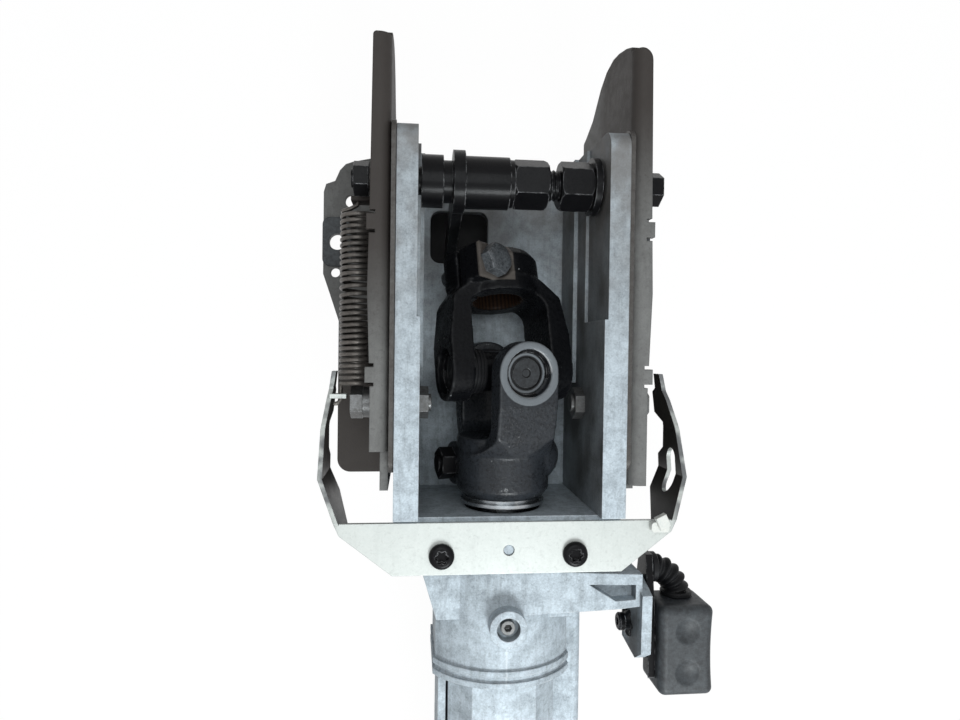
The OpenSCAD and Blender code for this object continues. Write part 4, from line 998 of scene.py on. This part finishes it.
class COLUMN_OT_stage(bpy.types.Operator):
    """Set up the floor, the light and the camera"""
    bl_idname = "column.stage"
    bl_label = "Stage"

    floor_size = 6.0
    floor_drop = 0.0005
    floor_grey = (0.3, 0.3, 0.3, 1.0)
    floor_rough = 0.9
    floor_glow = 1.08
    floor_glow_part = 0.9
    lamp_colour = (0.93, 0.985, 1.0)
    # Place, target and width
    key = ((0.10, -0.56, 0.58), (0.0, -0.05, 0.06), 0.24)
    fill = ((-0.04, 0.12, 0.80), (0.0, 0.0, 0.05), 0.50)
    nearest = 0.005

    def floor(self):
        """A white floor that keeps the shadow."""
        mesh = bpy.data.meshes.new("floor")
        bm = bmesh.new()
        bmesh.ops.create_grid(bm, x_segments=1, y_segments=1, size=self.floor_size)
        bmesh.ops.translate(bm, verts=bm.verts, vec=(0.0, 0.0, CAD_BOX[0][2] - self.floor_drop))
        bm.to_mesh(mesh)
        bm.free()
        made = bpy.data.objects.new("floor", mesh)
        bpy.context.scene.collection.objects.link(made)
        made_of = Finish("floor_white")
        tree = made_of.tree
        glow = shader(tree, "Emission", {"Color": WHITE, "Strength": self.floor_glow})
        made_of.set(base_color=self.floor_grey, roughness=self.floor_rough)
        part = times(tree, seen_white(tree), self.floor_glow_part)
        mix = shader(tree, "MixShader", {0: part, 1: made_of.bsdf.outputs[0], 2: glow.outputs[0]})
        put(tree, tree.nodes["Material Output"].inputs["Surface"], mix.outputs[0])
        mesh.materials.append(made_of.material)

    def world(self, ambient):
        """Even light, white where it is seen."""
        world = bpy.data.worlds.new("studio")
        world.use_nodes = True
        bpy.context.scene.world = world
        tree = world.node_tree
        plain = tree.nodes["Background"]
        plain.inputs["Color"].default_value = WHITE
        plain.inputs["Strength"].default_value = ambient
        white = shader(tree, "Background", {"Color": WHITE, "Strength": 1.0})
        mix = shader(tree, "MixShader", {0: seen_white(tree), 1: plain.outputs[0], 2: white.outputs[0]})
        put(tree, tree.nodes["World Output"].inputs["Surface"], mix.outputs[0])

    def lamp(self, name, place, target, size, power):
        """A square lamp that points at a target."""
        data = bpy.data.lights.new(name, "AREA")
        data.size = size
        data.energy = power
        data.color = self.lamp_colour
        made = bpy.data.objects.new(name, data)
        made.location = place
        made.rotation_euler = (Vector(target) - Vector(place)).to_track_quat("-Z", "Y").to_euler()
        bpy.context.scene.collection.objects.link(made)

    def camera(self, settings):
        """The view of the photo."""
        data = bpy.data.cameras.new("camera")
        data.sensor_width = SENSOR_WIDTH
        data.lens = settings.lens
        data.clip_start = self.nearest
        made = bpy.data.objects.new("camera", data)
        turn = (Matrix.Rotation(settings.pan, 4, "Y") @ Matrix.Rotation(settings.tilt, 4, "X")
                @ Matrix.Rotation(settings.roll, 4, "Z"))
        made.matrix_world = Matrix.Translation(settings.camera_place) @ turn
        bpy.context.scene.collection.objects.link(made)
        bpy.context.scene.camera = made

    def execute(self, context):
        settings = context.scene.column_stage
        context.scene.view_settings.view_transform = "Standard"
        self.floor()
        self.world(settings.ambient)
        self.lamp("key", *self.key, settings.key_power)
        self.lamp("fill", *self.fill, settings.fill_power)
        self.camera(settings)
        return {"FINISHED"}


STEPS = (COLUMN_OT_stage, COLUMN_OT_finishes, COLUMN_OT_forgings, COLUMN_OT_seals, COLUMN_OT_bolts,
         COLUMN_OT_lever_pin, COLUMN_OT_stud_thread, COLUMN_OT_spring, COLUMN_OT_grip, COLUMN_OT_boot)
SETTINGS = {
    "column_stage": ColumnStageSettings,
    "column_colours": ColumnColours,
    "column_sizes": ColumnSizes,
}


class COLUMN_PT_panel(bpy.types.Panel):
    """Lists the steps of the dressing"""
    bl_idname = "COLUMN_PT_panel"
    bl_label = "Steering column"
    bl_space_type = "VIEW_3D"
    bl_region_type = "UI"
    bl_category = "Column"

    def draw(self, context):
        for step in STEPS:
            self.layout.operator(step.bl_idname)


CLASSES = (*SETTINGS.values(), *STEPS, COLUMN_PT_panel)


def register():
    for cls in CLASSES:
        bpy.utils.register_class(cls)
    for name, group in SETTINGS.items():
        setattr(bpy.types.Scene, name, PointerProperty(type=group))


def unregister():
    for name in SETTINGS:
        delattr(bpy.types.Scene, name)
    for cls in reversed(CLASSES):
        bpy.utils.unregister_class(cls)


def main():
    register()
    for step in STEPS:
        space, name = step.bl_idname.split(".")
        getattr(getattr(bpy.ops, space), name)()


if __name__ == "__main__":
    main()
